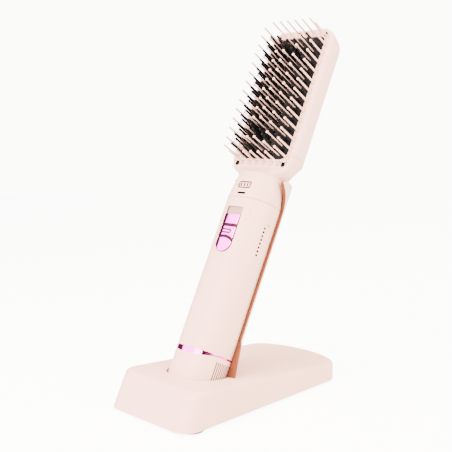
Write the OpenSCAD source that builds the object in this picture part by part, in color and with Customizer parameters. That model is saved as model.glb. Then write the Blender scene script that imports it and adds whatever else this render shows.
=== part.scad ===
// Cordless hair straightening brush, docked in its charging stand.
// The stand rests on z = 0 with its blunt end towards -Y. The brush leans back towards +Y,
// with its pins facing -Y. The origin is the middle of the stand's footprint.

/* [Grip] */
// Radius of the two round sides of the oval grip
grip_r = 17.6; // [16:0.2:19]
// Flat width between the two round sides
grip_flat = 6.8; // [4:0.2:9]
// Wall of the grip tube
grip_wall = 2.2; // [1.8:0.1:2.6]
// Height of the bottom cap
cap_h = 21.2; // [19:0.2:26]
// Height of the trim ring between cap and tube
ring_h = 1.4; // [1:0.1:3]
// Length of the grip tube
tube_l = 111.8; // [109:0.2:130]
// Length of the neck sleeve
neck_l = 21; // [19:0.5:28]

/* [Head] */
// Width of the head
head_w = 60; // [58:0.5:66]
// Rim of the face above the window
rim_top = 8.1; // [7.9:0.1:9]
// Rim of the face below the window, down to the neck sleeve
rim_bottom = 12.7; // [12.2:0.1:13.7]
// Height of the head's face in front of the grip's axis
face_n = 8.3; // [7.8:0.1:9]
// Depth of the head behind the grip's axis
head_back = 14.6; // [13.5:0.1:16]
// Length of the chin, where the neck turns into the head's flat face
chin_l = 6.6; // [5.5:0.1:7.5]
// Length over which the head's sides widen from the neck
flare_l = 13; // [12:0.5:14]
// Corner radius of the head's top
head_corner = 13; // [11:0.5:15]
// Wall of the head's back shell
shell_wall = 1.8; // [1.4:0.1:2.2]
// Width of the window around the heated plate
window_w = 44; // [42:0.5:45]
// Length of the window
window_l = 101.6; // [92:0.4:112]
// Corner radius of the window
window_corner = 6; // [4:0.5:8]

/* [Pins] */
// Distance of the first and last row of pins from the window's ends
row_margin = 8; // [7.6:0.1:9]
// Height of the guard pins above the face
guard_h = 17.4; // [14:0.2:20]
// Distance of the guard pins from the window's edge
guard_gap = 2.9; // [2.7:0.1:3]
// Radius of a guard pin
guard_r = 0.75; // [0.6:0.05:0.9]
// Height of the cool pins' tips above the face
cool_h = 18.8; // [15:0.2:21]
// Radius of a cool pin
cool_r = 0.65; // [0.5:0.05:0.75]
// Radius of the ball on a pin's tip
ball_r = 1.05; // [0.95:0.05:1.2]
// Height of the heating teeth's tips above the face
tooth_h = 15.6; // [12:0.2:17]
// Radius of a heating tooth
tooth_r = 0.5; // [0.4:0.05:0.6]
// Distance of the inner cool pins from the middle
inner_u = 3.4; // [3:0.1:3.8]
// Distance of the outer cool pins from the middle
outer_u = 14.2; // [13.8:0.1:14.6]

/* [Switch] */
// Width of the slider
slider_w = 13; // [11:0.5:14]
// Length of the slider
slider_l = 28; // [24:0.5:30]
// Travel of the slider from off to the hottest setting
slider_travel = 6; // [4:0.5:7]
// Height of the slider's lower end above the grip's bottom
slider_z = 92.4; // [88:0.5:96]
// Depth of the recess that the slider runs in
recess_d = 1.1; // [0.8:0.1:1.3]
// Height that the slider stands proud of the grip
slider_proud = 0.7; // [0.4:0.1:1.2]

/* [Inside the grip] */
// Radius of the battery cell
cell_r = 10.6; // [9.2:0.1:10.8]
// Length of the battery cell
cell_l = 70; // [65:0.5:72]
// Width of the control board
board_w = 25; // [20:0.5:26]
// Length of the control board
board_l = 66; // [62:0.5:68]
// Thickness of the circuit boards
board_t = 1.2; // [1:0.1:1.6]

/* [Stand] */
// Length of the stand
stand_l = 171; // [165:1:185]
// Width of the stand
stand_w = 80; // [76:1:90]
// Height of the stand's top at its front edge
front_h = 25.8; // [25:0.2:30]
// Height of the stand's top at its rear end
rear_h = 13.6; // [13:0.2:16]
// Wall of the stand's shell
stand_wall = 2.2; // [1.8:0.1:2.6]
// Plan radius of the front corners
front_corner = 12; // [10:0.5:16]
// Depth of the rounded rear end
rear_round = 23; // [20:0.5:30]
// Lean of the brush back from vertical, in degrees
lean = 26.9; // [26:0.1:27.5]
// Distance of the docked grip's lower end behind the stand's front
dock_back = 45.8; // [44:0.2:48]
// Height of the docked grip's lower end
dock_z = 15.3; // [15.2:0.1:16]
// Height of the rubber feet
foot_h = 2; // [1.5:0.1:3]
// Radius of the rubber feet
foot_r = 6; // [5:0.5:7]

/* [Cradle] */
// Gap between the docked grip and the cradle liner
cradle_gap = 0.6; // [0.4:0.1:0.8]
// Wall of the cradle liner
liner_t = 1.1; // [0.9:0.1:1.4]
// Wall of the backrest shell behind the liner
rest_t = 1.6; // [1.2:0.1:2]
// Height of the backrest's top along the grip
rest_top = 157.6; // [140:0.2:157.6]
// Corner radius of the backrest's top
rest_corner = 15; // [10:0.5:18]
// Distance of the backrest's side edges behind the grip's axis
rest_edge = 7; // [5:0.5:9]

/* [Hidden] */
$fn = 48;

// Running gap between bodies that move past each other, and gap between parts that stay put
run = 0.3;
fit = 0.1;
// A cut's overshoot past the face that it leaves
over = 1;
// What a round end lacks of a full half circle
sliver = 0.01;

// Heights along the grip
tube_z = cap_h + ring_h;
seam_z = tube_z + tube_l;
neck_top = seam_z + neck_l;
chin_top = neck_top + chin_l;
flare_top = neck_top + flare_l;
collar_top = flare_top + 3;
window_z = neck_top + rim_bottom + window_l / 2;
head_top = window_z + window_l / 2 + rim_top;
spigot_l = 5;

grip_in = grip_r - grip_wall;
spigot_r = grip_in - fit;

// Places in the head, as distances in front of the grip's axis
skin_t = 0.6;
frame_t = 3.1;
plate_sunk = 1.4;
plate_n = face_n - plate_sunk;
plate_t = 2.6;
plate_back = plate_n - plate_t;
heater_t = 2;
comb_t = 1.6;
comb_n = plate_back - heater_t;
window_gap = 0.2;

// The pin lattice
rows = 12;
pin_pitch = (window_l - 2 * row_margin) / (rows - 1);
first_row = window_z + window_l / 2 - row_margin;
guard_u = window_w / 2 + guard_gap;
end_w = window_l / 2 + guard_gap;
end_pitch = 7;
end_count = 6;
corner_in = 0.8;
corner_drop = 4.2;
corner_u = guard_u - corner_in;
corner_w = end_w - corner_drop;
function row_w(k) = first_row - k * pin_pitch;
inner_rows = [0, 2, 3, 4, 5, 6, 7, 8, 9, 11];
inner_gaps = [1, 10];

// The screws in the head
screw_head_r = 1.35;
screw_r = 0.8;
head_screw_in = 2.8;
head_screw_below = 3.9;
head_screw_above = 0.9;
head_screw_u = guard_u - head_screw_in;
head_screw_lo = window_z - window_l / 2 - head_screw_below;
head_screw_hi = window_z + window_l / 2 + head_screw_above;
head_screws_at = [for (s = [-1, 1], w = [head_screw_lo, head_screw_hi]) [s * head_screw_u, w]];
screw_head_h = 0.9;
screw_l = 6;

// The stand
stand_front = -stand_l / 2;
stand_rear = stand_l / 2;
wall_lean = lean;
edge_r = 3;
inner_edge = 0.6;
shell_z = foot_h - 0.4;
plate_z = shell_z + 0.6;
bottom_t = 1.6;
plate_in = (plate_z + bottom_t - shell_z + over) * tan(wall_lean);
top_front_y = stand_front + (front_h - shell_z) * tan(wall_lean);
function top_z(y) = front_h + (rear_h - front_h) * (y - top_front_y) / (stand_rear - top_front_y);
top_tilt = atan((front_h - rear_h) / (stand_rear - top_front_y));
dock_y = stand_front + dock_back;

// The cradle
liner_in = grip_r + cradle_gap;
liner_out = liner_in + liner_t;
rest_in = liner_out + fit;
rest_out = rest_in + rest_t;
liner_top = rest_top - 0.8;
cup_floor = -run;
cup_floor_t = 1.4;
rest_foot = 7;

// The charging contacts
pogo_u = 6;
pad_r = 2.4;
pad_t = 0.8;
pogo_r = 0.8;
pogo_flange_r = 1.1;
pogo_slip = 0.06;
barrel_r = 1.7;
pogo_travel = 1;
dock_board_z = -8.4;
barrel_floor = 0.6;
barrel_lip = 0.9;
flange_t = 0.7;
pogo_tip = -run;
barrel_top = cup_floor - pogo_travel;
flange_z = barrel_top - barrel_lip - fit - flange_t;
barrel_vent_r = 0.5;
spring_wire = 0.15;

pink = [0.95, 0.87, 0.84];
white = [0.96, 0.91, 0.9];
black = [0.08, 0.08, 0.09];
copper = [0.73, 0.45, 0.31];
chrome_pink = [0.93, 0.72, 0.85];

// Shape of the head
grip_half = grip_r + grip_flat / 2;
sunk = 0.1;
crown_l = 20;
crown_steps = [1, 0.6, 0.45, 0.325, 0.22, 0.17, 0.1, 0.05, 0.015, 0];
back_power = 2.3;
face_corner = 3.4;
flare_power = 1.3;
crown_back = 6;
crown_tilt = 0.42;

// Sizes of the head's inner pieces
frame_inset = 3.6;
spigot_t = 1.6;
guard_tip_r = 0.95;
boss_r = 1.3;
boss_h = 0.7;
flange_w = 1;
tooth_edge_u = window_w / 2 - 2.2;
comb_rim = 5;
heater_w = 8;
heater_in = 10.8;
heater_l = window_l - 2 * heater_in;
cutout_w = 4;
cutout_l = 10;
screw_seat_n = face_n - 2.5;
pilot = 0.05;
boss_out_r = 1.6;
rib_u = 11;
rib_t = 1.4;
rib_back = head_back - shell_wall;
boss_back = screw_seat_n - screw_l - 1.4;
lug_w = 3.2;
lug_n = 3;

// Sizes and places on and in the grip
gauge_z = 9.6;
gauge_w = 11;
gauge_h = 5.4;
gauge_corner = 0.8;
light_z = 2.8;
light_w = 6.6;
light_h = 1;
recess_r = grip_r - recess_d;
slider_round = 0.42;
stem_w = 4;
stem_l = 8;
stem_z = slider_z + slider_l / 2;
dot_count = 8;
dot_step = 2.87;
dot_heights = [for (i = [0:dot_count - 1]) slider_z + 4.4 + i * dot_step];
dot_angle = -12;
dot_r = 0.45;
dot_t = 0.4;
board_n = 9;
switch_n = board_n + board_t;
switch_t = 2.2;
switch_w = 8.6;
switch_l = 20;
lever_floor = 0.8;
lever_w = 1.5;
carrier_n = 13.5;
carrier_t = 1.4;
carrier_w = 10;
carrier_l = 24;
lever_z = stem_z - 8;
sled_t = 2;
tab_t = 0.3;
tab_r = 5;
rail_u = 11.2;
rail_w = 2.4;
rail_t = 2;
cell_z = tube_z + 7.5;
cell_n = board_n - rail_t - cell_r;
board_rise = 30;
board_z = cell_z + board_rise;
crescent_w = 30;
crescent_d = 2.8;
crescent_t = 0.8;
cap_floor = 2;
groove_count = 9;
groove_step = 5.4;
groove_r = 0.4;
groove_lo = 3.5;
groove_hi = cap_h - 3;

// Sizes and places in the stand
boss_in = 9;
boss_front = 34;
boss_rear = 46;
stand_boss_r = 2.8;
bottom_screw_l = 4;
bottom_head_r = 1.8;
foot_in = [13, 17];
foot_front = 13;
foot_rear = 23;
ballast_w = 46;
ballast_l = 46;
ballast_t = 2.5;
ballast_y = 8;
rest_screw_u = 8;
rest_screw_z = 12;
gusset_top = 34;
gusset_d = 8;
post_y = 5;
post_r = 1.9;
post_screw_l = 3.4;
dock_board_w = 20;
dock_board_l = 15;
barrel_h = barrel_top - dock_board_z - board_t;
spring_h = flange_z - pogo_travel - fit - dock_board_z - board_t - barrel_floor;
inlet_w = 8.9;
inlet_h = 3.2;
inlet_t = 0.3;
inlet_l = 7.3;
inlet_in = 0.6;
inlet_tongue_w = 6.6;
inlet_tongue_t = 0.7;
inlet_z = plate_z + bottom_t + board_t + inlet_h / 2;
inlet_board_w = 18;
inlet_board_l = 16;

// Puts a piece, drawn along the grip's own axis, where the docked brush lies
module docked() {
    translate([0, dock_y, dock_z]) rotate([-lean, 0, 0]) children();
}

// Oval outline of the grip
module oval(r) {
    square([grip_flat, 2 * r], center = true);
    for (s = [-1, 1]) translate([s * grip_flat / 2, 0]) circle(r);
}
module oval_rod(r, lo, hi) {
    translate([0, 0, lo]) linear_extrude(hi - lo) oval(r);
}
module oval_tube(r_out, r_in, lo, hi) {
    translate([0, 0, lo]) linear_extrude(hi - lo) difference() { oval(r_out); oval(r_in); }
}

// Stands an outline, drawn in width and height, up as a slab between two depths of the grip
module slab(n_lo, n_hi) {
    translate([0, -n_lo, 0]) rotate([90, 0, 0]) linear_extrude(n_hi - n_lo) children();
}
module rod_n(r, n_lo, n_hi) {
    translate([0, -n_lo, 0]) rotate([90, 0, 0]) cylinder(r = r, h = n_hi - n_lo);
}
module at(u, w) {
    translate([u, 0, w]) children();
}

// Outline with round corners, each corner a true arc
module round_rect(w, l, r) {
    square([w - 2 * r, l], center = true);
    square([w, l - 2 * r], center = true);
    for (x = [-1, 1], y = [-1, 1]) translate([x * (w / 2 - r), y * (l / 2 - r)]) circle(r);
}

// Cross-sections of the head. Each is a ring of points: the front, a front corner, the bowed
// back, and the other front corner. A blend of 0 is the grip's oval, and 1 is the head's shape.
function bow(c) = sign(c) * abs(c) ^ (2 / back_power);
function head_ring(half, face, back, c) = concat(
    [for (i = [-3:3]) [(half - c) * i / 3, -face]],
    [for (a = [60, 30, 0]) [half - c * (1 - cos(a)), c * (1 - sin(a)) - face]],
    [for (a = [10:10:170]) [half * bow(cos(a)), back * bow(sin(a))]],
    [for (a = [0, 30, 60]) [c * (1 - cos(a)) - half, c * (1 - sin(a)) - face]]);
function oval_ring(half, face, back) = [for (r = [[-150:20:-30], [-20:10:200]]) for (a = r) [
    half * (sign(cos(a)) * grip_flat / 2 + grip_r * cos(a)) / grip_half,
    (sin(a) < 0 ? face : back) * sin(a)]];
function ring_at(w, blend, half, face, back, inset) = let (from = oval_ring(half, face, back),
    to = head_ring(half, face, back, max(0.6, face_corner - inset)))
    [for (i = [0:len(to) - 1]) let (p = from[i] * (1 - blend) + to[i] * blend) [p[0], p[1], w]];

// A closed solid through a list of rings
module loft(rings) {
    n = len(rings[0]);
    m = len(rings);
    polyhedron(points = [for (r = rings) for (p = r) p], faces = concat(
        [[for (i = [0:n - 1]) i]],
        [[for (i = [n - 1:-1:0]) (m - 1) * n + i]],
        [for (k = [0:m - 2], i = [0:n - 1]) [k * n + i, (k + 1) * n + i, (k + 1) * n + (i + 1) % n]],
        [for (k = [0:m - 2], i = [0:n - 1]) [k * n + i, (k + 1) * n + (i + 1) % n,
            k * n + (i + 1) % n]]));
}

// The whole head above a height, less an inset. Its top edges are rounded like its sides.
module head_body(inset, lo) {
    top = head_top - inset;
    r = head_corner - inset;
    hull() loft([for (d = concat([top - lo], crown_l * crown_steps)) let (
        t = 1 - min(1, d / crown_l),
        q = max(0, 1 - d / face_corner),
        v = max(0, 1 - d / r))
        [for (p = ring_at(top - d, 1, head_w / 2 - inset - r + r * sqrt(1 - 0.99 * v * v),
            face_n - inset - face_corner * (1 - sqrt(1 - q * q)),
            head_back - inset - crown_back * (1 - sqrt(1 - 0.99 * t * t)), inset))
            p - [0, 0, crown_tilt * t * (p[1] + face_n)]]]);
}

// The chin, from the oval neck to the head's full section. It runs on past its ends by reach.
module chin_body(inset, reach) {
    loft([for (t = [-1, 0, 0.1, 0.2, 0.3, 0.4, 0.5, 0.65, 0.8, 1, 2]) let (
        w = t < 0 ? neck_top - reach : t > 1 ? collar_top + reach : neck_top + flare_l * t,
        u = min(1, max(0, t)),
        turn = sin(90 * min(1, u * flare_l / chin_l)))
        if (abs(t) <= 1 && t >= 0 || reach > 0 || t > 1)
            ring_at(w, turn, flare_half(w) - inset,
                grip_r + (face_n - grip_r) * turn - inset,
                grip_r + (head_back - grip_r) * u - inset, inset)]);
}
function flare_half(w) = grip_half + (head_w / 2 - grip_half)
    * min(1, max(0, (w - neck_top) / flare_l)) ^ flare_power;

// Front outline of the head above a height, less an inset
module head_outline(inset, lo) {
    half = head_w / 2 - inset;
    r = head_corner - inset;
    polygon(concat([[-half, lo], [half, lo]],
        [for (a = [0:10:90]) [half - r * (1 - cos(a)), head_top - inset - r * (1 - sin(a))]],
        [for (a = [90:10:180]) [r * (1 + cos(a)) - half, head_top - inset - r * (1 - sin(a))]]));
}

// Outline of the front frame's face: the rim, and the flat part of the collar below it
module frame_outline(gap) {
    head_outline(frame_inset + gap, collar_top - frame_inset);
    polygon([for (s = [1, -1], t = [0:0.25:1]) let (
        w = s > 0 ? chin_top + (collar_top - chin_top) * t : collar_top - (collar_top - chin_top) * t)
        [s * (flare_half(w) - face_corner - sunk - gap), w]]);
}
module window(gap) {
    translate([0, window_z])
        round_rect(window_w - 2 * gap, window_l - 2 * gap, window_corner - gap);
}
module head_screw_rods(r, n_lo, n_hi) {
    for (p = head_screws_at) at(p[0], p[1]) rod_n(r, n_lo, n_hi);
}

// Front frame: the chin and collar below, and the rim around the heated plate
module head_front_frame() color(pink) docked() difference() {
    union() {
        difference() {
            chin_body(0, 0);
            chin_body(shell_wall, over);
            slab(face_n - skin_t, face_n + over) frame_outline(0);
        }
        slab(face_n - frame_t, face_n - skin_t) frame_outline(0);
        oval_tube(spigot_r, spigot_r - spigot_t, neck_top - spigot_l, neck_top + over);
        oval_tube(grip_in + over / 2, spigot_r - spigot_t, neck_top, neck_top + over);
    }
    slab(0, face_n + over) window(0);
    head_screw_rods(screw_head_r + fit, screw_seat_n, face_n + over);
    head_screw_rods(screw_r + fit, 0, face_n);
}

// One pin with a ball on its tip
module pin(u, w, r, tip_r, n_lo, tip) {
    at(u, w) {
        rod_n(r, n_lo, tip - tip_r);
        translate([0, -(tip - tip_r), 0]) sphere(tip_r, $fn = 24);
    }
}

// Guard pins, moulded with the skin of the frame's face
guard_places = concat(
    [for (s = [-1, 1], k = [0:rows - 1]) [s * guard_u, row_w(k)]],
    [for (s = [-1, 1], e = [-1, 1]) [s * corner_u, window_z + e * corner_w]],
    [for (e = [-1, 1], i = [0:end_count - 1])
        [(i - (end_count - 1) / 2) * end_pitch, window_z + e * end_w]]
);
module guard_pins() color(pink) docked() {
    difference() {
        slab(face_n - skin_t, face_n) frame_outline(0);
        slab(0, face_n + over) window(0);
        head_screw_rods(screw_head_r + fit, 0, face_n + over);
    }
    for (p = guard_places) {
        pin(p[0], p[1], guard_r, guard_tip_r, face_n - skin_t / 2, face_n + guard_h);
        at(p[0], p[1]) rod_n(boss_r, face_n - skin_t / 2, face_n + boss_h);
    }
}

// Where the white pins and the black teeth stand inside the window
cool_places = concat(
    [for (s = [-1, 1], k = [0:rows - 1]) [s * outer_u, row_w(k + 0.5)]],
    [for (s = [-1, 1], k = inner_rows) [s * inner_u, row_w(k)]]
);
step_u = (outer_u - inner_u) / 3;
tooth_places = concat(
    [for (k = [0:rows - 1]) [0, row_w(k + 0.5)]],
    [for (s = [-1, 1], k = inner_gaps) [s * inner_u, row_w(k)]],
    [for (s = [-1, 1], k = [0:rows - 1]) [s * (inner_u + step_u), row_w(k + 0.5)]],
    [for (s = [-1, 1], k = [0:rows - 1]) [s * (inner_u + 2 * step_u), row_w(k)]],
    [for (s = [-1, 1], k = [0:rows - 1]) [s * tooth_edge_u, row_w(k + 0.5)]],
    [for (s = [-1, 1], k = [0:rows - 1]) [s * (outer_u + tooth_edge_u) / 2, row_w(k)]]
);
module cool_holes(n_lo, n_hi) {
    for (p = cool_places) at(p[0], p[1]) rod_n(cool_r + fit, n_lo, n_hi);
}
module heated_plate() color(black) docked() difference() {
    union() {
        slab(plate_back, plate_n - skin_t) window(window_gap);
        slab(plate_back, face_n - frame_t) window(-flange_w);
    }
    cool_holes(0, plate_n + over);
}
module heating_teeth() color(black) docked() {
    difference() {
        slab(plate_n - skin_t, plate_n) window(window_gap);
        cool_holes(0, plate_n + over);
    }
    for (p = tooth_places) pin(p[0], p[1], tooth_r, tooth_r, plate_n - skin_t / 2, face_n + tooth_h);
}
module cool_pins() color(white) docked() {
    slab(comb_n - comb_t, comb_n) translate([0, window_z])
        square([2 * outer_u + comb_rim, rows * pin_pitch + comb_rim], center = true);
    for (p = cool_places) pin(p[0], p[1], cool_r, ball_r, comb_n - comb_t / 2, face_n + cool_h);
}
module ptc_heaters() color("tan") docked() for (s = [-1, 1]) {
    slab(comb_n, plate_back) translate([s * (inner_u + outer_u) / 2, window_z])
        square([heater_w, heater_l], center = true);
}
module thermal_cutout() color("silver") docked() slab(comb_n, plate_back)
    translate([0, window_z]) square([cutout_w, cutout_l], center = true);

// Back shell of the head, with two screw bosses, ribs behind the comb and two lugs in the collar
module head_back_shell() color(white) docked() difference() {
    union() {
        difference() {
            head_body(0, collar_top + fit);
            head_body(shell_wall, collar_top - over);
            slab(0, face_n + over) head_outline(frame_inset - fit, collar_top - over);
        }
        for (s = [-1, 1]) {
            at(s * head_screw_u, head_screw_hi) rod_n(boss_out_r, boss_back, face_n - frame_t);
            at(s * head_screw_u, head_screw_lo) rod_n(lug_w / 2, -lug_n, face_n - frame_t);
            slab(-rib_back, comb_n - comb_t) translate([s * rib_u, window_z])
                square([rib_t, heater_l], center = true);
            slab(-lug_n, lug_n) translate([s * head_screw_u - lug_w / 2, head_screw_lo])
                square([lug_w, collar_top + 2 * lug_w - head_screw_lo]);
            slab(-lug_n, lug_n) translate([s * (head_screw_u + head_w / 2 - shell_wall / 2) / 2,
                collar_top + 1.5 * lug_w])
                square([head_w / 2 - shell_wall / 2 - head_screw_u, lug_w], center = true);
        }
    }
    head_screw_rods(screw_r + pilot, screw_seat_n - screw_l - over, face_n);
}
module head_screws() color("dimgray") docked() {
    head_screw_rods(screw_head_r, screw_seat_n, screw_seat_n + screw_head_h);
    head_screw_rods(screw_r, screw_seat_n - screw_l, screw_seat_n + screw_head_h / 2);
}

// A patch of the grip's skin between two radii, cut to an outline seen from the front
module patch(r_lo, r_hi, lo, hi) {
    intersection() {
        oval_tube(r_hi, r_lo, lo, hi);
        slab(0, 2 * grip_r) children();
    }
}

// Neck sleeve, its light windows and its spigot into the tube
module gauge_outline(gap) {
    translate([0, seam_z + gauge_z]) round_rect(gauge_w + 2 * gap, gauge_h + 2 * gap, gauge_corner + gap);
}
module light_outline(gap) {
    translate([0, seam_z + light_z])
        round_rect(light_w + 2 * gap, light_h + 2 * gap, light_h / 2 + gap - sliver);
}
module neck_shell() color(pink) docked() difference() {
    union() {
        oval_tube(grip_r, grip_in, seam_z, neck_top);
        oval_tube(spigot_r, spigot_r - spigot_t, seam_z - spigot_l, seam_z + over);
        oval_tube(grip_in + over / 2, spigot_r - spigot_t, seam_z, seam_z + over);
    }
    slab(0, 2 * grip_r) gauge_outline(fit);
    slab(0, 2 * grip_r) light_outline(fit);
}
module battery_gauge_lens() color("mistyrose") docked()
    patch(grip_in, grip_r, seam_z, neck_top) gauge_outline(0);
module status_light_lens() color("dimgray") docked()
    patch(grip_in, grip_r, seam_z, neck_top) light_outline(0);

// Outline of the slider: square above, round below
module slider_outline(w, lo, hi) {
    r = w * slider_round;
    translate([-w / 2, lo + r]) square([w, hi - lo - r]);
    translate([-w / 2 + r, lo]) square([w - 2 * r, r]);
    for (s = [-1, 1]) translate([s * (w / 2 - r), lo + r]) circle(r);
}
module grip_tube() color(pink) docked() difference() {
    oval_tube(grip_r, grip_in, tube_z, seam_z);
    patch(recess_r, grip_r + over, tube_z, seam_z) slider_outline(slider_w + 2 * run,
        slider_z - run, slider_z + slider_l + slider_travel + run);
    slab(0, 2 * grip_r) translate([0, stem_z + slider_travel / 2])
        square([stem_w + 2 * run, stem_l + slider_travel + 2 * run], center = true);
    dot_rods(dot_r + fit / 2);
}

// Dots along both sides of the grip, which mark the temperature scale
module dot_rods(r) {
    for (s = [0, 1], z = dot_heights) mirror([s, 0, 0]) translate([grip_flat / 2, 0, z])
        rotate([0, 0, dot_angle]) translate([grip_r - dot_t, 0, 0]) rotate([0, 90, 0])
        cylinder(r = r, h = dot_t);
}
module temperature_dots() color("gray") docked() dot_rods(dot_r);

// Mode slider: the chrome button outside, the carrier inside and the switch's own lever
module mode_slider_button() color(chrome_pink) docked() {
    patch(recess_r + run, grip_r + slider_proud, tube_z, seam_z)
        slider_outline(slider_w, slider_z, slider_z + slider_l);
    slab(carrier_n, recess_r + run + recess_d / 2) translate([0, stem_z])
        square([stem_w, stem_l], center = true);
}
module mode_slider_carrier() color("white") docked() difference() {
    slab(carrier_n, carrier_n + carrier_t) translate([0, stem_z])
        square([carrier_w, carrier_l], center = true);
    slab(0, grip_r) translate([0, stem_z]) square([stem_w + fit, stem_l + fit], center = true);
    slab(0, grip_r) translate([0, lever_z]) square(lever_w + fit, center = true);
}
module mode_switch_lever() color("black") docked() slab(switch_n + lever_floor + run, carrier_n
    + carrier_t - fit) translate([0, lever_z]) square(lever_w, center = true);
module mode_switch_body() color("silver") docked() difference() {
    slab(switch_n, switch_n + switch_t) translate([0, lever_z + slider_travel / 2])
        square([switch_w, switch_l], center = true);
    slab(switch_n + lever_floor, grip_r) translate([0, lever_z + slider_travel / 2])
        square([lever_w + 2 * run, lever_w + slider_travel + 2 * run], center = true);
}
module control_board() color("green") docked() slab(board_n, board_n + board_t)
    translate([-board_w / 2, board_z]) square([board_w, board_l]);

// Battery and the sled that carries it and the board
module battery_cell() color("steelblue") docked()
    translate([0, -cell_n, cell_z]) cylinder(r = cell_r, h = cell_l);
module battery_terminals() color("silver") docked() for (z = [cell_z - tab_t, cell_z + cell_l])
    translate([0, -cell_n, z]) cylinder(r = tab_r, h = tab_t);
module battery_sled() color("lightgray") docked() {
    for (z = [cell_z - tab_t - sled_t, cell_z + cell_l + tab_t, board_z + board_l - sled_t])
        intersection() {
            oval_rod(spigot_r, z, z + sled_t);
            slab(-grip_r, board_n) translate([-grip_half, z - over])
                square([2 * grip_half, sled_t + 2 * over]);
        }
    for (s = [-1, 1]) slab(board_n - rail_t, board_n)
        translate([s * rail_u - rail_w / 2, cell_z - tab_t - sled_t])
        square([rail_w, board_z + board_l - cell_z + tab_t + sled_t]);
}

// Trim ring, deeper at the front, and the cap below it
module crescent(grow) {
    r = (crescent_w ^ 2 / 4 + crescent_d ^ 2) / (2 * crescent_d);
    intersection() {
        translate([0, cap_h - crescent_d + r]) circle(r + grow, $fn = 96);
        translate([-grip_half, 0]) square([2 * grip_half, cap_h + ring_h / 2]);
    }
}
module trim_ring() color(chrome_pink) docked() {
    oval_tube(grip_r, grip_in, cap_h, cap_h + ring_h);
    patch(grip_r - crescent_t, grip_r, 0, cap_h + ring_h / 2) crescent(0);
}
module bottom_cap() color(pink) docked() difference() {
    union() {
        oval_rod(grip_r, 0, cap_h);
        oval_rod(spigot_r, cap_h - over, cap_h + ring_h + spigot_l);
    }
    oval_rod(spigot_r - spigot_t, cap_floor, seam_z);
    patch(grip_r - crescent_t - fit, grip_r + over, 0, cap_h + over) crescent(fit);
    for (s = [-1, 1]) translate([s * pogo_u, 0, -over])
        cylinder(r = pad_r + fit / 2, h = pad_t + over);
    for (m = [0, 1], i = [0:groove_count - 1]) mirror([m, 0, 0]) translate([grip_flat / 2, 0, 0])
        rotate([0, 0, (i - (groove_count - 1) / 2) * groove_step])
        translate([grip_r + groove_r * 0.2, 0, groove_lo]) {
            cylinder(r = groove_r, h = groove_hi - groove_lo, $fn = 16);
        }
}
module charge_pads() color("gold") docked() for (s = [-1, 1])
    translate([s * pogo_u, 0, 0]) cylinder(r = pad_r, h = pad_t);

// Plan outline of the stand, drawn in by d, with its front edge at y = front
function stand_plan(front, d) = let (
    r = front_corner - d, x = stand_w / 2 - front_corner, y = front + front_corner,
    yc = stand_rear - rear_round) concat(
    [for (a = [0:15:90]) [x + r * sin(a), y - r * cos(a)]],
    [for (a = [0:10:180]) [(stand_w / 2 - d) * cos(a), yc + (rear_round - d) * sin(a)]],
    [for (a = [90:-15:0]) [-x - r * sin(a), y - r * cos(a)]]);
module stand_body(inset, lo) {
    r = edge_r - inset * inner_edge;
    hull() {
        translate([0, 0, lo]) linear_extrude(sunk) polygon(stand_plan(stand_front, inset));
        for (p = stand_plan(top_front_y, inset + r))
            translate([p[0], p[1], top_z(p[1]) - inset - r]) sphere(r, $fn = 16);
    }
}
module below_top(drop) {
    multmatrix([[1, 0, 0, 0], [0, 1, 0, 0], [0, -tan(top_tilt), 1, 0], [0, 0, 0, 1]])
        translate([-stand_w, stand_front, top_z(0) - drop - 2 * front_h])
        cube([2 * stand_w, stand_l, 2 * front_h]);
}
boss_places = [for (s = [-1, 1], y = [-1, 1]) [
    s * (stand_w / 2 - boss_in), y < 0 ? stand_front + boss_front : stand_rear - boss_rear]];
module stand_shell() color(pink) difference() {
    union() {
        difference() {
            stand_body(0, shell_z);
            stand_body(stand_wall, shell_z - over);
        }
        intersection() {
            stand_body(stand_wall / 2, shell_z);
            for (p = boss_places) translate([p[0], p[1], plate_z + bottom_t])
                cylinder(r = stand_boss_r, h = front_h);
        }
    }
    docked() {
        oval_rod(liner_out + fit, -grip_r, 3 * front_h);
        intersection() {
            oval_rod(rest_out + fit, -grip_r, 3 * front_h);
            slab(-2 * grip_r, -rest_edge + fit) translate([-grip_half * 2, -grip_r])
                square([4 * grip_half, 5 * front_h]);
        }
    }
    for (p = boss_places) translate([p[0], p[1], 0])
        cylinder(r = screw_r + pilot, h = plate_z + bottom_t + bottom_screw_l);
    translate([0, stand_rear, inlet_z]) rotate([90, 0, 0]) linear_extrude(4 * stand_wall, center = true)
        round_rect(inlet_w + 2 * fit, inlet_h + 2 * fit, inlet_h / 2 - fit);
}
module stand_bottom_plate() color(pink) difference() {
    translate([0, 0, plate_z]) linear_extrude(bottom_t)
        polygon(stand_plan(stand_front + plate_in, stand_wall + 2 * fit));
    for (p = boss_places) translate([p[0], p[1], 0]) {
        cylinder(r = screw_r + fit, h = front_h);
        cylinder(r = bottom_head_r + fit, h = plate_z + bottom_t / 2);
    }
}
module rubber_feet() color("dimgray") for (s = [-1, 1], y = [0, 1])
    translate([s * (stand_w / 2 - foot_in[y]), y ? stand_rear - foot_rear : stand_front + foot_front, 0])
        cylinder(r = foot_r, h = plate_z);
module bottom_screws() color("silver") for (p = boss_places) translate([p[0], p[1], 0]) {
    translate([0, 0, plate_z + fit]) cylinder(r = bottom_head_r, h = bottom_t / 2 - fit);
    translate([0, 0, plate_z + fit]) cylinder(r = screw_r, h = bottom_t + bottom_screw_l - 2 * fit);
}
module ballast_plate() color("gray") translate([-ballast_w / 2, ballast_y, plate_z + bottom_t])
    cube([ballast_w, ballast_l, ballast_t]);

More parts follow.
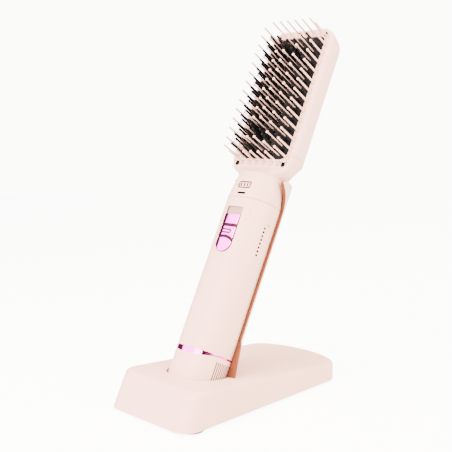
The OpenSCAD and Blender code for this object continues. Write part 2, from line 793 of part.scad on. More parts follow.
// Outline of the backrest seen from the front, with round upper corners
module rest_outline(lo, top) {
    w = 2 * (grip_half + 2 * rest_t + liner_t);
    translate([-w / 2, lo]) square([w, top - rest_corner - lo]);
    translate([-w / 2 + rest_corner, lo]) square([w - 2 * rest_corner, top - lo]);
    for (s = [-1, 1]) translate([s * (w / 2 - rest_corner), top - rest_corner])
        circle(rest_corner);
}
module cradle_liner() color(copper) difference() {
    union() {
        intersection() {
            docked() oval_tube(liner_out, liner_in, cup_floor - cup_floor_t, 3 * front_h);
            below_top(0);
        }
        docked() {
            oval_rod(liner_out, cup_floor - cup_floor_t, cup_floor);
            intersection() {
                oval_tube(liner_out, liner_in, cup_floor, liner_top);
                slab(-2 * grip_r, -rest_edge) rest_outline(cup_floor - over, liner_top);
            }
            for (s = [-1, 1]) translate([0, s * post_y, dock_board_z + board_t])
                cylinder(r = post_r, h = cup_floor - dock_board_z - board_t - over);
        }
        difference() {
            docked() intersection() {
                oval_tube(rest_out, liner_in, 0, gusset_top);
                rotate([90, 0, 90]) linear_extrude(3 * grip_half, center = true) polygon([
                    [rest_edge, gusset_top], [rest_edge - gusset_d, 0], [rest_edge, 0]]);
            }
            below_top(-fit);
        }
    }
    docked() {
        for (s = [-1, 1]) translate([s * pogo_u, 0, -grip_r]) cylinder(r = barrel_r + fit / 2, h = grip_r);
        for (s = [-1, 1]) translate([0, s * post_y, dock_board_z - over])
            cylinder(r = screw_r + pilot, h = board_t + over + post_screw_l);
        for (s = [-1, 1]) translate([s * rest_screw_u, 0, rest_screw_z]) rotate([-90, 0, 0])
            cylinder(r = screw_r + pilot, h = 2 * grip_r);
    }
}
module backrest_shell() color(white) docked() difference() {
    intersection() {
        oval_tube(rest_out, rest_in, rest_foot, rest_top);
        slab(-2 * grip_r, -rest_edge) rest_outline(rest_foot - over, rest_top);
    }
    for (s = [-1, 1]) translate([s * rest_screw_u, 0, rest_screw_z]) rotate([-90, 0, 0])
        cylinder(r = screw_r + fit, h = 2 * grip_r);
}
module backrest_screws() color("silver") docked() for (s = [-1, 1])
    translate([s * rest_screw_u, 0, rest_screw_z]) rotate([-90, 0, 0]) {
        translate([0, 0, liner_in + fit]) cylinder(r = screw_r, h = rest_out - liner_in);
        translate([0, 0, rest_out + fit]) cylinder(r = 2 * screw_r, h = screw_head_h);
    }

// Charging contacts below the cradle's cup
module dock_board() color("green") docked() difference() {
    translate([0, 0, dock_board_z]) linear_extrude(board_t)
        square([dock_board_w, dock_board_l], center = true);
    for (s = [-1, 1]) translate([0, s * post_y, dock_board_z - over])
        cylinder(r = screw_r + fit, h = board_t + 2 * over);
}
module dock_board_screws() color("silver") docked() for (s = [-1, 1]) translate([0, s * post_y, 0]) {
    translate([0, 0, dock_board_z - screw_head_h]) cylinder(r = 2 * screw_r, h = screw_head_h);
    translate([0, 0, dock_board_z - screw_head_h / 2])
        cylinder(r = screw_r, h = board_t + screw_head_h / 2 + post_screw_l - over);
}
module pogo_barrels() color("gold") docked() for (s = [-1, 1]) translate([s * pogo_u, 0, 0])
    difference() {
        translate([0, 0, dock_board_z + board_t]) cylinder(r = barrel_r, h = barrel_h);
        translate([0, 0, dock_board_z + board_t + barrel_floor])
            cylinder(r = pogo_flange_r + pogo_slip, h = barrel_h - barrel_floor - barrel_lip);
        cylinder(r = pogo_r + pogo_slip, h = 4 * barrel_h, center = true);
        translate([0, 0, dock_board_z]) cylinder(r = barrel_vent_r, h = barrel_h);
    }
module pogo_pin(s) color("gold") docked() translate([s * pogo_u, 0, 0]) {
    translate([0, 0, flange_z]) cylinder(r = pogo_flange_r, h = flange_t);
    translate([0, 0, flange_z]) cylinder(r = pogo_r, h = pogo_tip - pogo_r - flange_z);
    translate([0, 0, pogo_tip - pogo_r]) sphere(pogo_r, $fn = 32);
}
module pogo_springs() color("silver") docked() for (s = [-1, 1]) translate([s * pogo_u, 0,
    dock_board_z + board_t + barrel_floor]) difference() {
        cylinder(r = pogo_flange_r - 2 * pogo_slip, h = spring_h);
        translate([0, 0, -over])
            cylinder(r = pogo_flange_r - 4 * pogo_slip - spring_wire, h = spring_h + 2 * over);
    }

// Power inlet at the rear
module power_inlet() color("silver") translate([0, stand_rear - inlet_in, inlet_z])
    rotate([90, 0, 0]) {
        linear_extrude(inlet_l) difference() {
            round_rect(inlet_w, inlet_h, inlet_h / 2 - sliver);
            round_rect(inlet_w - 2 * inlet_t, inlet_h - 2 * inlet_t,
                inlet_h / 2 - inlet_t - sliver);
        }
        translate([0, 0, inlet_l - inlet_t]) linear_extrude(inlet_t)
            round_rect(inlet_w - inlet_t, inlet_h - inlet_t, inlet_h / 2 - inlet_t);
        translate([0, 0, inlet_t]) linear_extrude(inlet_l - inlet_t)
            square([inlet_tongue_w, inlet_tongue_t], center = true);
    }
module inlet_board() color("green") translate([-inlet_board_w / 2,
    stand_rear - stand_wall - over - inlet_board_l, plate_z + bottom_t])
    cube([inlet_board_w, inlet_board_l, board_t]);
head_front_frame();
guard_pins();
heated_plate();
heating_teeth();
cool_pins();
ptc_heaters();
thermal_cutout();
head_back_shell();
head_screws();
neck_shell();
battery_gauge_lens();
status_light_lens();
grip_tube();
temperature_dots();
mode_slider_button();
mode_slider_carrier();
mode_switch_lever();
mode_switch_body();
control_board();
battery_cell();
battery_terminals();
battery_sled();
trim_ring();
bottom_cap();
charge_pads();
stand_shell();
stand_bottom_plate();
rubber_feet();
bottom_screws();
ballast_plate();
cradle_liner();
backrest_shell();
backrest_screws();
dock_board();
dock_board_screws();
pogo_barrels();
pogo_springs();
pogo_pin(-1);  // pogo_pin_left
pogo_pin(1);  // pogo_pin_right
power_inlet();
inlet_board();
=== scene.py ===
# %% [markdown]
# # A hair straightening brush in its charging stand
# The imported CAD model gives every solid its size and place. This lesson dresses it: a camera where
# the photographer stood, a pale studio, plastics, metal and rubber made from nodes, and new, softer
# pieces over the solids whose plain edges would show.

# %% Load the frame
import math

import bmesh
import bpy
from mathutils import Matrix, Vector


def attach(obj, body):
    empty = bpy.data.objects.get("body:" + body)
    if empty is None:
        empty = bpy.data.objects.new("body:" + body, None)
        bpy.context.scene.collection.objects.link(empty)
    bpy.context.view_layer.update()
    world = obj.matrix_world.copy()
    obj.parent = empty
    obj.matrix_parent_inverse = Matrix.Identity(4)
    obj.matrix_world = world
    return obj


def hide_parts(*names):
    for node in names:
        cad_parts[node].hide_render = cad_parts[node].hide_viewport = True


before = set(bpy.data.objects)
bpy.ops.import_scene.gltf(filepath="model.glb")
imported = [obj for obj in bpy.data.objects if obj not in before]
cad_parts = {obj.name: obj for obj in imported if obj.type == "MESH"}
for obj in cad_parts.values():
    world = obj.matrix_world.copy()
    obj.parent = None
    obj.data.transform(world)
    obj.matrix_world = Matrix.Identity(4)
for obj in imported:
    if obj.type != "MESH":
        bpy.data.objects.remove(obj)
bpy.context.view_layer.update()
MM = 0.001

# %% [markdown]
# ## Camera
# The photograph was taken from the front right, a little above the slider, with a long lens. Its
# place came from matching known points of the brush and the stand, so it is only written down here.
# The lens follows from the width of Blender's sensor and the photograph's 452 pixels.

# %% Camera
PHOTO_SIDE = 452
FOCAL_PIXELS = 769.9
SENSOR_MM = 36
EYE = Vector((375.0, -395.8, 192.9)) * MM
CAMERA_YAW = math.radians(44.05)
CAMERA_DIP = math.radians(7.4)

bpy.ops.object.camera_add(location=EYE, rotation=(math.pi / 2 - CAMERA_DIP, 0, CAMERA_YAW))
camera = bpy.context.object
camera.name = "photo_camera"
camera.data.sensor_width = SENSOR_MM
camera.data.lens = SENSOR_MM * FOCAL_PIXELS / PHOTO_SIDE
camera.data.clip_start = 0.01
camera.data.clip_end = 50
bpy.context.scene.camera = camera
print("lens in mm:", round(camera.data.lens, 2))

# %% [markdown]
# ## Helpers for the workbench
# Blender's operators act on whatever is selected and active. The CAD nodes are selected after the
# import, so every step first deselects all and then picks its own object, faces or edges by place.


# %% Helpers for selecting and editing
def take(*pieces):
    """Selects only these pieces and makes the first one active, in object mode."""
    if bpy.context.object and bpy.context.object.mode != "OBJECT":
        bpy.ops.object.mode_set(mode="OBJECT")
    bpy.ops.object.select_all(action="DESELECT")
    for piece in pieces:
        piece.select_set(True)
    bpy.context.view_layer.objects.active = pieces[0] if pieces else None


def named(name):
    """Names the primitive that was just added and fixes its place in its mesh."""
    piece = bpy.context.object
    piece.name = piece.data.name = name
    take(piece)
    bpy.ops.object.transform_apply(location=True, rotation=True, scale=True)
    return piece


def open_edit(piece, mode="FACE"):
    """Opens a piece in edit mode with nothing selected."""
    take(piece)
    bpy.ops.object.mode_set(mode="EDIT")
    bpy.ops.mesh.select_mode(type=mode)
    bpy.ops.mesh.select_all(action="DESELECT")


def pick(piece, test, kind="faces"):
    """In edit mode, selects only the faces, edges or vertices that pass a test."""
    mesh = bmesh.from_edit_mesh(piece.data)
    for face in mesh.faces:
        face.select_set(False)
    for edge in mesh.edges:
        edge.select_set(False)
    for vert in mesh.verts:
        vert.select_set(False)
    count = 0
    for item in getattr(mesh, kind):
        if test(item):
            item.select_set(True)
            count += 1
    mesh.select_flush_mode()
    bmesh.update_edit_mesh(piece.data)
    return count


def middle(item):
    """The middle of an edge."""
    return (item.verts[0].co + item.verts[1].co) / 2


def close_edit():
    bpy.ops.object.mode_set(mode="OBJECT")


def apply_modifier(piece, kind, **settings):
    """Adds one modifier to a piece and applies it."""
    take(piece)
    modifier = piece.modifiers.new(kind.lower(), kind)
    for key, value in settings.items():
        setattr(modifier, key, value)
    bpy.ops.object.modifier_apply(modifier=modifier.name)


def carve(piece, *tools, how="DIFFERENCE"):
    """Cuts a piece with other meshes, which are used up."""
    for tool in tools:
        apply_modifier(piece, "BOOLEAN", object=tool, operation=how, solver="EXACT")
        bpy.data.objects.remove(tool, do_unlink=True)


def join(name, *pieces):
    """Makes several meshes one piece."""
    take(*pieces)
    bpy.ops.object.join()
    return named(name)


def soften(piece, angle=35):
    """Smooth shading, except over edges sharper than the angle."""
    take(piece)
    bpy.ops.object.shade_smooth_by_angle(angle=math.radians(angle))
    return piece


def copies(piece, places):
    """Copies a mesh to each place, each copy with its own mesh, and returns them all."""
    row = []
    for place in places:
        twin = piece.copy()
        twin.data = piece.data.copy()
        bpy.context.collection.objects.link(twin)
        twin.location = place
        row.append(twin)
    bpy.data.objects.remove(piece, do_unlink=True)
    return row


# %% [markdown]
# ## The dock's slant
# The brush lies 26.9 degrees back from vertical. Its pieces are easiest to draw upright, with the
# grip's axis on Z and the pins towards -Y, so each one is turned into the dock when it is finished.

# %% The dock
LEAN = math.radians(26.9)
DOCK = Matrix.Translation((0, -39.7 * MM, 15.3 * MM)) @ Matrix.Rotation(-LEAN, 4, "X")


def lay_back(piece):
    """Turns a finished upright piece into the dock."""
    piece.matrix_world = DOCK
    take(piece)
    bpy.ops.object.transform_apply(location=True, rotation=True, scale=True)
    return piece


# %% [markdown]
# ## Effects that several finishes share
# Moulded plastic is never one flat colour: the pigment drifts a little, the skin carries the fine
# spark grain of its mould, and hands leave smoother patches. Each effect is a node group with its
# own inputs, so that every finish can use it at its own scale.


# %% Node group tools
def new_group(name, inputs, outputs):
    group = bpy.data.node_groups.new(name, "ShaderNodeTree")
    for label, kind, value in inputs:
        socket = group.interface.new_socket(label, in_out="INPUT", socket_type=kind)
        if value is not None:
            socket.default_value = value
    for label, kind in outputs:
        group.interface.new_socket(label, in_out="OUTPUT", socket_type=kind)
    enter = group.nodes.new("NodeGroupInput")
    leave = group.nodes.new("NodeGroupOutput")
    return group, enter.outputs, leave.inputs


def add(tree, kind, **settings):
    """Adds a node. Settings whose names are sockets are set or linked there."""
    node = tree.nodes.new(kind)
    for key, value in settings.items():
        if key in node.bl_rna.properties.keys():
            setattr(node, key, value)
    for key, value in settings.items():
        if key in node.bl_rna.properties.keys():
            continue
        socket = node.inputs[int(key[1:]) if key[0] == "_" else key.replace("_", " ")]
        if isinstance(value, bpy.types.NodeSocket):
            tree.links.new(value, socket)
        else:
            socket.default_value = value
    return node


FLOAT, COLOUR, VECTOR = "NodeSocketFloat", "NodeSocketColor", "NodeSocketVector"

# %% Pigment drift: the colour wanders a little over a moulding
drift, given, sent = new_group(
    "pigment_drift",
    [("Place", VECTOR, None), ("Colour", COLOUR, (0.8, 0.8, 0.8, 1)),
     ("Shade", COLOUR, (0.7, 0.7, 0.7, 1)), ("Scale", FLOAT, 12.0), ("Amount", FLOAT, 0.5)],
    [("Colour", COLOUR), ("Mask", FLOAT)],
)
cloud = add(drift, "ShaderNodeTexNoise", Vector=given["Place"], Scale=given["Scale"], Detail=3.0)
spread = add(drift, "ShaderNodeMapRange", Value=cloud.outputs["Fac"])
spread.inputs["From Min"].default_value = 0.3
spread.inputs["From Max"].default_value = 0.7
mask = add(drift, "ShaderNodeMath", operation="MULTIPLY", _0=spread.outputs["Result"],
           _1=given["Amount"])
blend = add(drift, "ShaderNodeMix", data_type="RGBA", _0=mask.outputs[0])
drift.links.new(given["Colour"], blend.inputs[6])
drift.links.new(given["Shade"], blend.inputs[7])
drift.links.new(blend.outputs[2], sent["Colour"])
drift.links.new(mask.outputs[0], sent["Mask"])

# %% Spark grain: the fine dimples that a mould's eroded steel leaves
grain, given, sent = new_group(
    "spark_grain",
    [("Place", VECTOR, None), ("Scale", FLOAT, 2500.0), ("Softness", FLOAT, 0.4)],
    [("Height", FLOAT)],
)
fine = add(grain, "ShaderNodeTexNoise", Vector=given["Place"], Scale=given["Scale"], Detail=2.0,
           Roughness=given["Softness"])
pits = add(grain, "ShaderNodeTexVoronoi", feature="SMOOTH_F1", Vector=given["Place"],
           Scale=given["Scale"])
both = add(grain, "ShaderNodeMath", operation="MULTIPLY", _0=fine.outputs["Fac"],
           _1=pits.outputs["Distance"])
grain.links.new(both.outputs[0], sent["Height"])

# %% Handling: smoother and duller patches where fingers and cloths have been
handling, given, sent = new_group(
    "handling",
    [("Place", VECTOR, None), ("Scale", FLOAT, 30.0), ("Polished", FLOAT, 0.3),
     ("Dull", FLOAT, 0.45)],
    [("Roughness", FLOAT)],
)
smear = add(handling, "ShaderNodeTexNoise", Vector=given["Place"], Scale=given["Scale"],
            Detail=5.0, Distortion=0.6)
level = add(handling, "ShaderNodeMapRange", Value=smear.outputs["Fac"])
level.inputs["From Min"].default_value = 0.35
level.inputs["From Max"].default_value = 0.65
handling.links.new(given["Polished"], level.inputs["To Min"])
handling.links.new(given["Dull"], level.inputs["To Max"])
handling.links.new(level.outputs["Result"], sent["Roughness"])

# %% Drawn lines: the long scratches of brushed or drawn metal
drawn, given, sent = new_group(
    "drawn_lines",
    [("Place", VECTOR, None), ("Stretch", VECTOR, (4.0, 4.0, 400.0)), ("Scale", FLOAT, 10.0)],
    [("Height", FLOAT), ("Mask", FLOAT)],
)
pulled = add(drawn, "ShaderNodeMapping", Vector=given["Place"], Scale=given["Stretch"])
lines = add(drawn, "ShaderNodeTexNoise", Vector=pulled.outputs[0], Scale=given["Scale"],
            Detail=4.0)
lined = add(drawn, "ShaderNodeMapRange", Value=lines.outputs["Fac"])
lined.inputs["From Min"].default_value = 0.35
lined.inputs["From Max"].default_value = 0.65
drawn.links.new(lines.outputs["Fac"], sent["Height"])
drawn.links.new(lined.outputs["Result"], sent["Mask"])
print("shared effects:", [g.name for g in bpy.data.node_groups])

# %% [markdown]
# ## Finishes
# A finish is one material: constants such as sheen or coat stay on the shader itself, and the
# groups feed only what changes over the surface. `finish` wires the usual set once, so that each
# finish below is a short list of its colours and its grain.


# %% A finish from the shared effects
def srgb(r, g, b):
    """A colour given in 0 to 255 as the linear values that Blender's sockets want."""
    def line(v):
        v /= 255
        return v / 12.92 if v <= 0.04045 else ((v + 0.055) / 1.055) ** 2.4
    return line(r), line(g), line(b), 1.0


def finish(name, colour, shade, drift_scale=14.0, amount=0.5, rough=(0.32, 0.42), smear=35.0,
           grain_scale=2400.0, grain_depth=0.02, lines=None, **shader):
    """A material of drifting pigment, handled roughness, and grain or drawn lines as relief."""
    material = bpy.data.materials.new(name)
    material.use_nodes = True
    material.diffuse_color = colour
    tree = material.node_tree
    surface = tree.nodes["Principled BSDF"]
    place = add(tree, "ShaderNodeTexCoord").outputs["Object"]
    pigment = add(tree, "ShaderNodeGroup", node_tree=drift, Place=place, Colour=colour,
                  Shade=shade, Scale=drift_scale, Amount=amount)
    tree.links.new(pigment.outputs["Colour"], surface.inputs["Base Color"])
    touch = add(tree, "ShaderNodeGroup", node_tree=handling, Place=place, Scale=smear,
                Polished=rough[0], Dull=rough[1])
    tree.links.new(touch.outputs["Roughness"], surface.inputs["Roughness"])
    if lines:
        relief = add(tree, "ShaderNodeGroup", node_tree=drawn, Place=place, Stretch=lines,
                     Scale=grain_scale)
    else:
        relief = add(tree, "ShaderNodeGroup", node_tree=grain, Place=place, Scale=grain_scale)
    bump = add(tree, "ShaderNodeBump", Strength=1.0, Distance=grain_depth * MM,
               Height=relief.outputs["Height"])
    tree.links.new(bump.outputs["Normal"], surface.inputs["Normal"])
    for socket, value in shader.items():
        surface.inputs[socket.replace("_", " ")].default_value = value
    return material


# %% Plastics
FINISHES = {
    "pale_pink": finish("pale_pink", srgb(243, 223, 216), srgb(239, 215, 208), rough=(0.34, 0.44),
                        Coat_Weight=0.08, Coat_Roughness=0.3),
    "white_shell": finish("white_shell", srgb(244, 230, 228), srgb(240, 223, 221),
                          rough=(0.3, 0.4), Coat_Weight=0.1, Coat_Roughness=0.25),
    "pin_white": finish("pin_white", srgb(252, 240, 235), srgb(243, 226, 220), drift_scale=60.0,
                        rough=(0.28, 0.38), grain_depth=0.01),
    "guard_pink": finish("guard_pink", srgb(245, 225, 218), srgb(236, 212, 204), drift_scale=60.0,
                         rough=(0.3, 0.4), grain_depth=0.01),
    "plate_black": finish("plate_black", srgb(11, 14, 16), srgb(22, 27, 33), drift_scale=50.0,
                          amount=0.8, rough=(0.24, 0.42), smear=90.0, grain_scale=1800.0,
                          grain_depth=0.03, Specular_IOR_Level=0.16,
                          Specular_Tint=(0.5, 0.85, 1, 1)),
    "icon_mauve": finish("icon_mauve", srgb(52, 14, 26), srgb(42, 11, 20),
                         drift_scale=200.0, rough=(0.3, 0.45), grain_depth=0.008),
    "status_smoke": finish("status_smoke", srgb(14, 12, 11), srgb(8, 7, 7), drift_scale=300.0,
                           rough=(0.3, 0.4), grain_depth=0.004, Specular_IOR_Level=0.1),
    # Painted shade for the floor of the slider's slot; the mode numbers are printed in the same
    # colour.
    "slot_shade_and_print": finish("slot_shade_and_print", srgb(176, 160, 161), srgb(166, 149, 151), drift_scale=40.0),
    # Painted shade for the walls of the slider's slot.
    "slot_wall_shade": finish("slot_wall_shade", srgb(92, 56, 68), srgb(80, 48, 58), drift_scale=90.0),
    # Painted shade for the cap's finger grooves and the rings round the guard pins.
    "groove_shade": finish("groove_shade", srgb(54, 32, 32), srgb(44, 26, 26),
                           drift_scale=90.0, rough=(0.5, 0.65)),
    "dot_grey": finish("dot_grey", srgb(24, 15, 16), srgb(17, 11, 12), drift_scale=400.0,
                       rough=(0.35, 0.5), grain_depth=0.006, Specular_IOR_Level=0.2),
    "foot_rubber": finish("foot_rubber", srgb(20, 18, 18), srgb(13, 12, 12), drift_scale=80.0,
                          amount=0.9, rough=(0.7, 0.88), grain_scale=1500.0, grain_depth=0.05),
    "inner_grey": finish("inner_grey", srgb(190, 188, 186), srgb(172, 170, 168),
                         rough=(0.45, 0.6), grain_depth=0.03),
    "board_green": finish("board_green", srgb(24, 92, 52), srgb(14, 66, 36), drift_scale=120.0,
                          amount=0.8, rough=(0.25, 0.4), Coat_Weight=0.5, Coat_Roughness=0.15),
    "cell_blue": finish("cell_blue", srgb(60, 104, 156), srgb(44, 84, 132), rough=(0.2, 0.32),
                        grain_depth=0.01, Coat_Weight=0.4, Coat_Roughness=0.15),
    "ceramic": finish("ceramic", srgb(222, 208, 178), srgb(204, 188, 156), drift_scale=90.0,
                      rough=(0.55, 0.7), grain_scale=1600.0, grain_depth=0.04),
}

# %% Metals
FINISHES.update({
    "copper": finish("copper", srgb(124, 85, 62), srgb(110, 72, 51), drift_scale=22.0,
                     rough=(0.3, 0.42), smear=60.0, grain_scale=9.0, grain_depth=0.006,
                     lines=(40.0, 1.5, 1.5), Metallic=0.75, Specular_Tint=(0.9, 0.6, 0.45, 1)),
    "pink_chrome": finish("pink_chrome", srgb(250, 92, 240), srgb(244, 80, 230),
                          drift_scale=60.0, rough=(0.05, 0.1), smear=120.0,
                          grain_depth=0.001, Metallic=1.0, Specular_Tint=(1, 0.6, 1, 1)),
    # Painted reflection and shade: the dark grooves, bevels and side walls of the chrome slider.
    "chrome_reflection_shade": finish("chrome_reflection_shade", srgb(56, 20, 50), srgb(42, 14, 38),
                            drift_scale=120.0, rough=(0.25, 0.4), grain_depth=0.002,
                            Metallic=0.4, Specular_IOR_Level=0.15),
    # Painted shade: near black for the screws and the walls of their deep holes.
    "hole_shade_black": finish("hole_shade_black", srgb(24, 22, 23), srgb(14, 13, 14), drift_scale=300.0,
                          rough=(0.4, 0.55), grain_depth=0.004, Specular_IOR_Level=0.1),
    "screw_steel": finish("screw_steel", srgb(150, 150, 153), srgb(118, 118, 122),
                          drift_scale=300.0, rough=(0.25, 0.42), grain_scale=12.0,
                          grain_depth=0.004, lines=(60.0, 3.0, 60.0), Metallic=1.0),
    "gold_contact": finish("gold_contact", srgb(222, 184, 106), srgb(200, 158, 80),
                           drift_scale=250.0, rough=(0.16, 0.28), grain_depth=0.004,
                           Metallic=1.0),
})
print("finishes:", sorted(FINISHES))

# %% [markdown]
# ## Dress the CAD nodes
# Each CAD node keeps its mesh and only trades its plain colour for the finish that the record's
# slot names, apart from three small nodes that are darker than their slot. Of these, the screws'
# near black is painted shade, as they sit deep in their holes. Nodes that a new piece stands for
# are dressed too, because they cost nothing.

# %% CAD nodes
def dress(piece, name):
    """Gives a piece one finish."""
    piece.data.materials.clear()
    piece.data.materials.append(FINISHES[name])


def paint(piece, test, name):
    """Gives a second finish to the faces that pass a test."""
    piece.data.materials.append(FINISHES[name])
    open_edit(piece)
    count = pick(piece, test)
    piece.active_material_index = len(piece.data.materials) - 1
    bpy.ops.object.material_slot_assign()
    close_edit()
    return count


def settle(piece, body, node=None):
    """Lets a finished piece ride on its body and stand for its CAD node."""
    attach(piece, body)
    if node:
        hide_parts(node)


# The screws get a near black finish as painted shade, because they sit deep in their holes.
NODE_FINISH = {"status_light_lens": "status_smoke", "temperature_dots": "dot_grey",
               "head_screws": "hole_shade_black"}
for name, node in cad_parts.items():
    for slot in node.material_slots:
        plain = slot.material.name.split(".")[0] if slot.material else ""
        slot.material = FINISHES.get(NODE_FINISH.get(name, plain), FINISHES["inner_grey"])
print("nodes dressed:", len(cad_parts))

# %% [markdown]
# ## Stand top
# The stand is one moulding: straight sides, a half-oval rear, two rounded front corners and a front
# wall that leans back as the brush does. It starts as a cylinder, because the rear is round: the
# front half is cut off, the rear is squeezed to an oval, and the flat cut is pulled forward. The
# slope of the top is one more cut, and the rim is a bevel, as a mould maker would round it.

# %% Stand: plan and slope
STAND_W = 80 * MM
FRONT_Y, REAR_Y = -85.5 * MM, 85.5 * MM
REAR_DEPTH = 23 * MM
SKIRT_Z = 1.6 * MM
CORNER_R, RIM_R = 12 * MM, 3 * MM
TOP_FRONT = Vector((0, -73.22 * MM, 25.8 * MM))
TOP_REAR = Vector((0, REAR_Y, 13.6 * MM))
STAND_WALL = 2.2 * MM
along = TOP_REAR - TOP_FRONT
TOP_NORMAL = Vector((0, -along.z, along.y)).normalized()

tall = 40 * MM
rear_y = REAR_Y - REAR_DEPTH
bpy.ops.mesh.primitive_cylinder_add(vertices=144, radius=STAND_W / 2, depth=tall,
                                    location=(0, rear_y, SKIRT_Z + tall / 2))
stand_top = named("stand_top")
open_edit(stand_top)
bpy.ops.mesh.select_all(action="SELECT")
bpy.ops.mesh.bisect(plane_co=(0, rear_y, 0), plane_no=(0, -1, 0), clear_outer=True, use_fill=True)
bpy.ops.mesh.select_all(action="SELECT")
bpy.ops.transform.resize(value=(1, 2 * REAR_DEPTH / STAND_W, 1), center_override=(0, rear_y, 0))
pick(stand_top, lambda f: f.normal.y < -0.9)
bpy.ops.mesh.extrude_region_move(TRANSFORM_OT_translate={"value": Vector((0, FRONT_Y - rear_y, 0))})
bpy.ops.mesh.select_mode(type="EDGE")
corners = pick(stand_top, lambda e: middle(e).y < FRONT_Y + MM
               and abs(e.verts[0].co.z - e.verts[1].co.z) > tall / 2, "edges")
bpy.ops.mesh.bevel(offset=CORNER_R, segments=16, affect="EDGES")
bpy.ops.mesh.select_mode(type="VERT")
pick(stand_top, lambda v: v.co.y < FRONT_Y + CORNER_R + 0.1 * MM and v.co.z > tall / 2, "verts")
bpy.ops.transform.translate(value=(0, tall * math.tan(LEAN), 0))
bpy.ops.mesh.select_all(action="SELECT")
bpy.ops.mesh.bisect(plane_co=TOP_FRONT, plane_no=TOP_NORMAL, clear_outer=True, use_fill=True)
print("front corners rounded:", corners)


# %% Stand: soft rim, hollow inside
def on_top(v):
    return abs((v.co - TOP_FRONT).dot(TOP_NORMAL)) < 0.01 * MM


bpy.ops.mesh.select_mode(type="EDGE")
rim = pick(stand_top, lambda e: on_top(e.verts[0]) and on_top(e.verts[1]), "edges")
bpy.ops.mesh.bevel(offset=RIM_R, segments=8, affect="EDGES")
bpy.ops.mesh.select_mode(type="FACE")
pick(stand_top, lambda f: f.normal.z < -0.9)
bpy.ops.mesh.delete(type="FACE")
close_edit()
apply_modifier(stand_top, "SOLIDIFY", thickness=STAND_WALL, offset=-1, use_even_offset=True)
open_edit(stand_top)
bpy.ops.mesh.select_all(action="SELECT")
bpy.ops.mesh.bisect(plane_co=(0, 0, SKIRT_Z), plane_no=(0, 0, -1), clear_outer=True, use_fill=True)
close_edit()
print("rim edges:", rim)

# %% [markdown]
# ## Oval posts and pipes
# The grip, the neck, the cap and the dock's well share one oval: two half circles, 6.8 mm apart. A
# post is a cylinder whose two halves are moved apart. A pipe is a post whose ends are inset by the
# wall and joined with a bridge, and its outer rims are eased, as every moulded edge is.

# %% Oval post and pipe
GRIP_R, GRIP_FLAT = 17.6 * MM, 6.8 * MM


def oval_post(name, radius, low, high, sides=96, flat=GRIP_FLAT):
    """An upright oval post between two heights along the grip."""
    bpy.ops.mesh.primitive_cylinder_add(vertices=sides, radius=radius, depth=high - low,
                                        location=(0, 0, (low + high) / 2),
                                        rotation=(0, 0, math.pi / sides))
    post = named(name)
    open_edit(post, "VERT")
    for side in (-1, 1):
        pick(post, lambda v: v.co.x * side > 0, "verts")
        bpy.ops.transform.translate(value=(side * flat / 2, 0, 0))
    close_edit()
    return post


def is_level(face):
    return abs(face.normal.z) > 0.99


def oval_pipe(name, outer, inner, low, high, ease):
    """An oval pipe whose outer rims are eased."""
    pipe = oval_post(name, outer, low, high)
    open_edit(pipe, "EDGE")
    pick(pipe, lambda e: abs(e.verts[0].co.z - e.verts[1].co.z) < 0.001 * MM, "edges")
    bpy.ops.mesh.bevel(offset=ease, segments=3, affect="EDGES")
    bpy.ops.mesh.select_mode(type="FACE")
    pick(pipe, is_level)
    bpy.ops.mesh.inset(thickness=outer - inner - ease)
    bpy.ops.mesh.bridge_edge_loops()
    close_edit()
    return pipe


# %% [markdown]
# ## The well in the stand
# The brush and its backrest go down into the stand through one opening. Two oval posts cut it: one
# follows the cradle, and a wider one, only behind the brush, makes room for the backrest. The edge
# of the opening gets a small bevel, and weighted normals keep the flat top flat in the light.

# %% Stand: the well for the cradle
WELL_R, WELL_SPREAD, REST_SLOT_R, REST_SLOT_Y = 18.1 * MM, 2.4 * MM, 21.1 * MM, 6.9 * MM
WELL_LOW, WELL_HIGH, WELL_EASE = -18 * MM, 80 * MM, 0.7 * MM
well = oval_post("well", WELL_R, WELL_LOW, WELL_HIGH, flat=GRIP_FLAT + WELL_SPREAD)
rest_slot = oval_post("backrest_slot", REST_SLOT_R, WELL_LOW, WELL_HIGH)
open_edit(rest_slot)
bpy.ops.mesh.select_all(action="SELECT")
bpy.ops.mesh.bisect(plane_co=(0, REST_SLOT_Y, 0), plane_no=(0, -1, 0), clear_outer=True,
                    use_fill=True)
close_edit()
carve(stand_top, lay_back(well), lay_back(rest_slot))


def well_rim(e):
    """True for an edge between the flat top and the wall of the well."""
    near_well = abs(middle(e).x) < 24 * MM and abs(middle(e).y + 28 * MM) < 30 * MM
    if len(e.link_faces) != 2 or not near_well:
        return False
    slant = sorted(abs(f.normal.dot(TOP_NORMAL)) for f in e.link_faces)
    return on_top(e.verts[0]) and on_top(e.verts[1]) and slant[0] < 0.9 < slant[1]


open_edit(stand_top, "EDGE")
lip = pick(stand_top, well_rim, "edges")
bpy.ops.mesh.bevel(offset=WELL_EASE, segments=4, affect="EDGES")
close_edit()
soften(stand_top, 40)
apply_modifier(stand_top, "WEIGHTED_NORMAL", keep_sharp=True)
dress(stand_top, "pale_pink")
settle(stand_top, "stand", "stand_shell")
print("well rim edges:", lip, "faces:", len(stand_top.data.polygons))

# %% [markdown]
# ## Grip and neck
# The grip is a smooth oval tube, and the neck is a shorter one above it that narrows towards the
# head, so its upper rim is scaled down. On the real brush a fine shadow line runs round the seam.
# It is real geometry here: both rims are eased, and the two pipes end a hair apart.

# %% Grip and neck pipes
TUBE_Z, SEAM_Z, NECK_TOP = 22.6 * MM, 134.4 * MM, 155.4 * MM
WALL = 2.2 * MM
EASE = 0.28 * MM
GAP = 0.17 * MM
NECK_SLIM = 0.875
NECK_R = GRIP_R * NECK_SLIM
NECK_HALF = (GRIP_R + GRIP_FLAT / 2) * NECK_SLIM


def slim(piece, low):
    """Narrows the top of an upright piece as the neck does."""
    open_edit(piece, "VERT")
    pick(piece, lambda v: v.co.z > low, "verts")
    bpy.ops.transform.resize(value=(NECK_SLIM, NECK_SLIM, 1), center_override=(0, 0, 0))
    close_edit()
    return piece


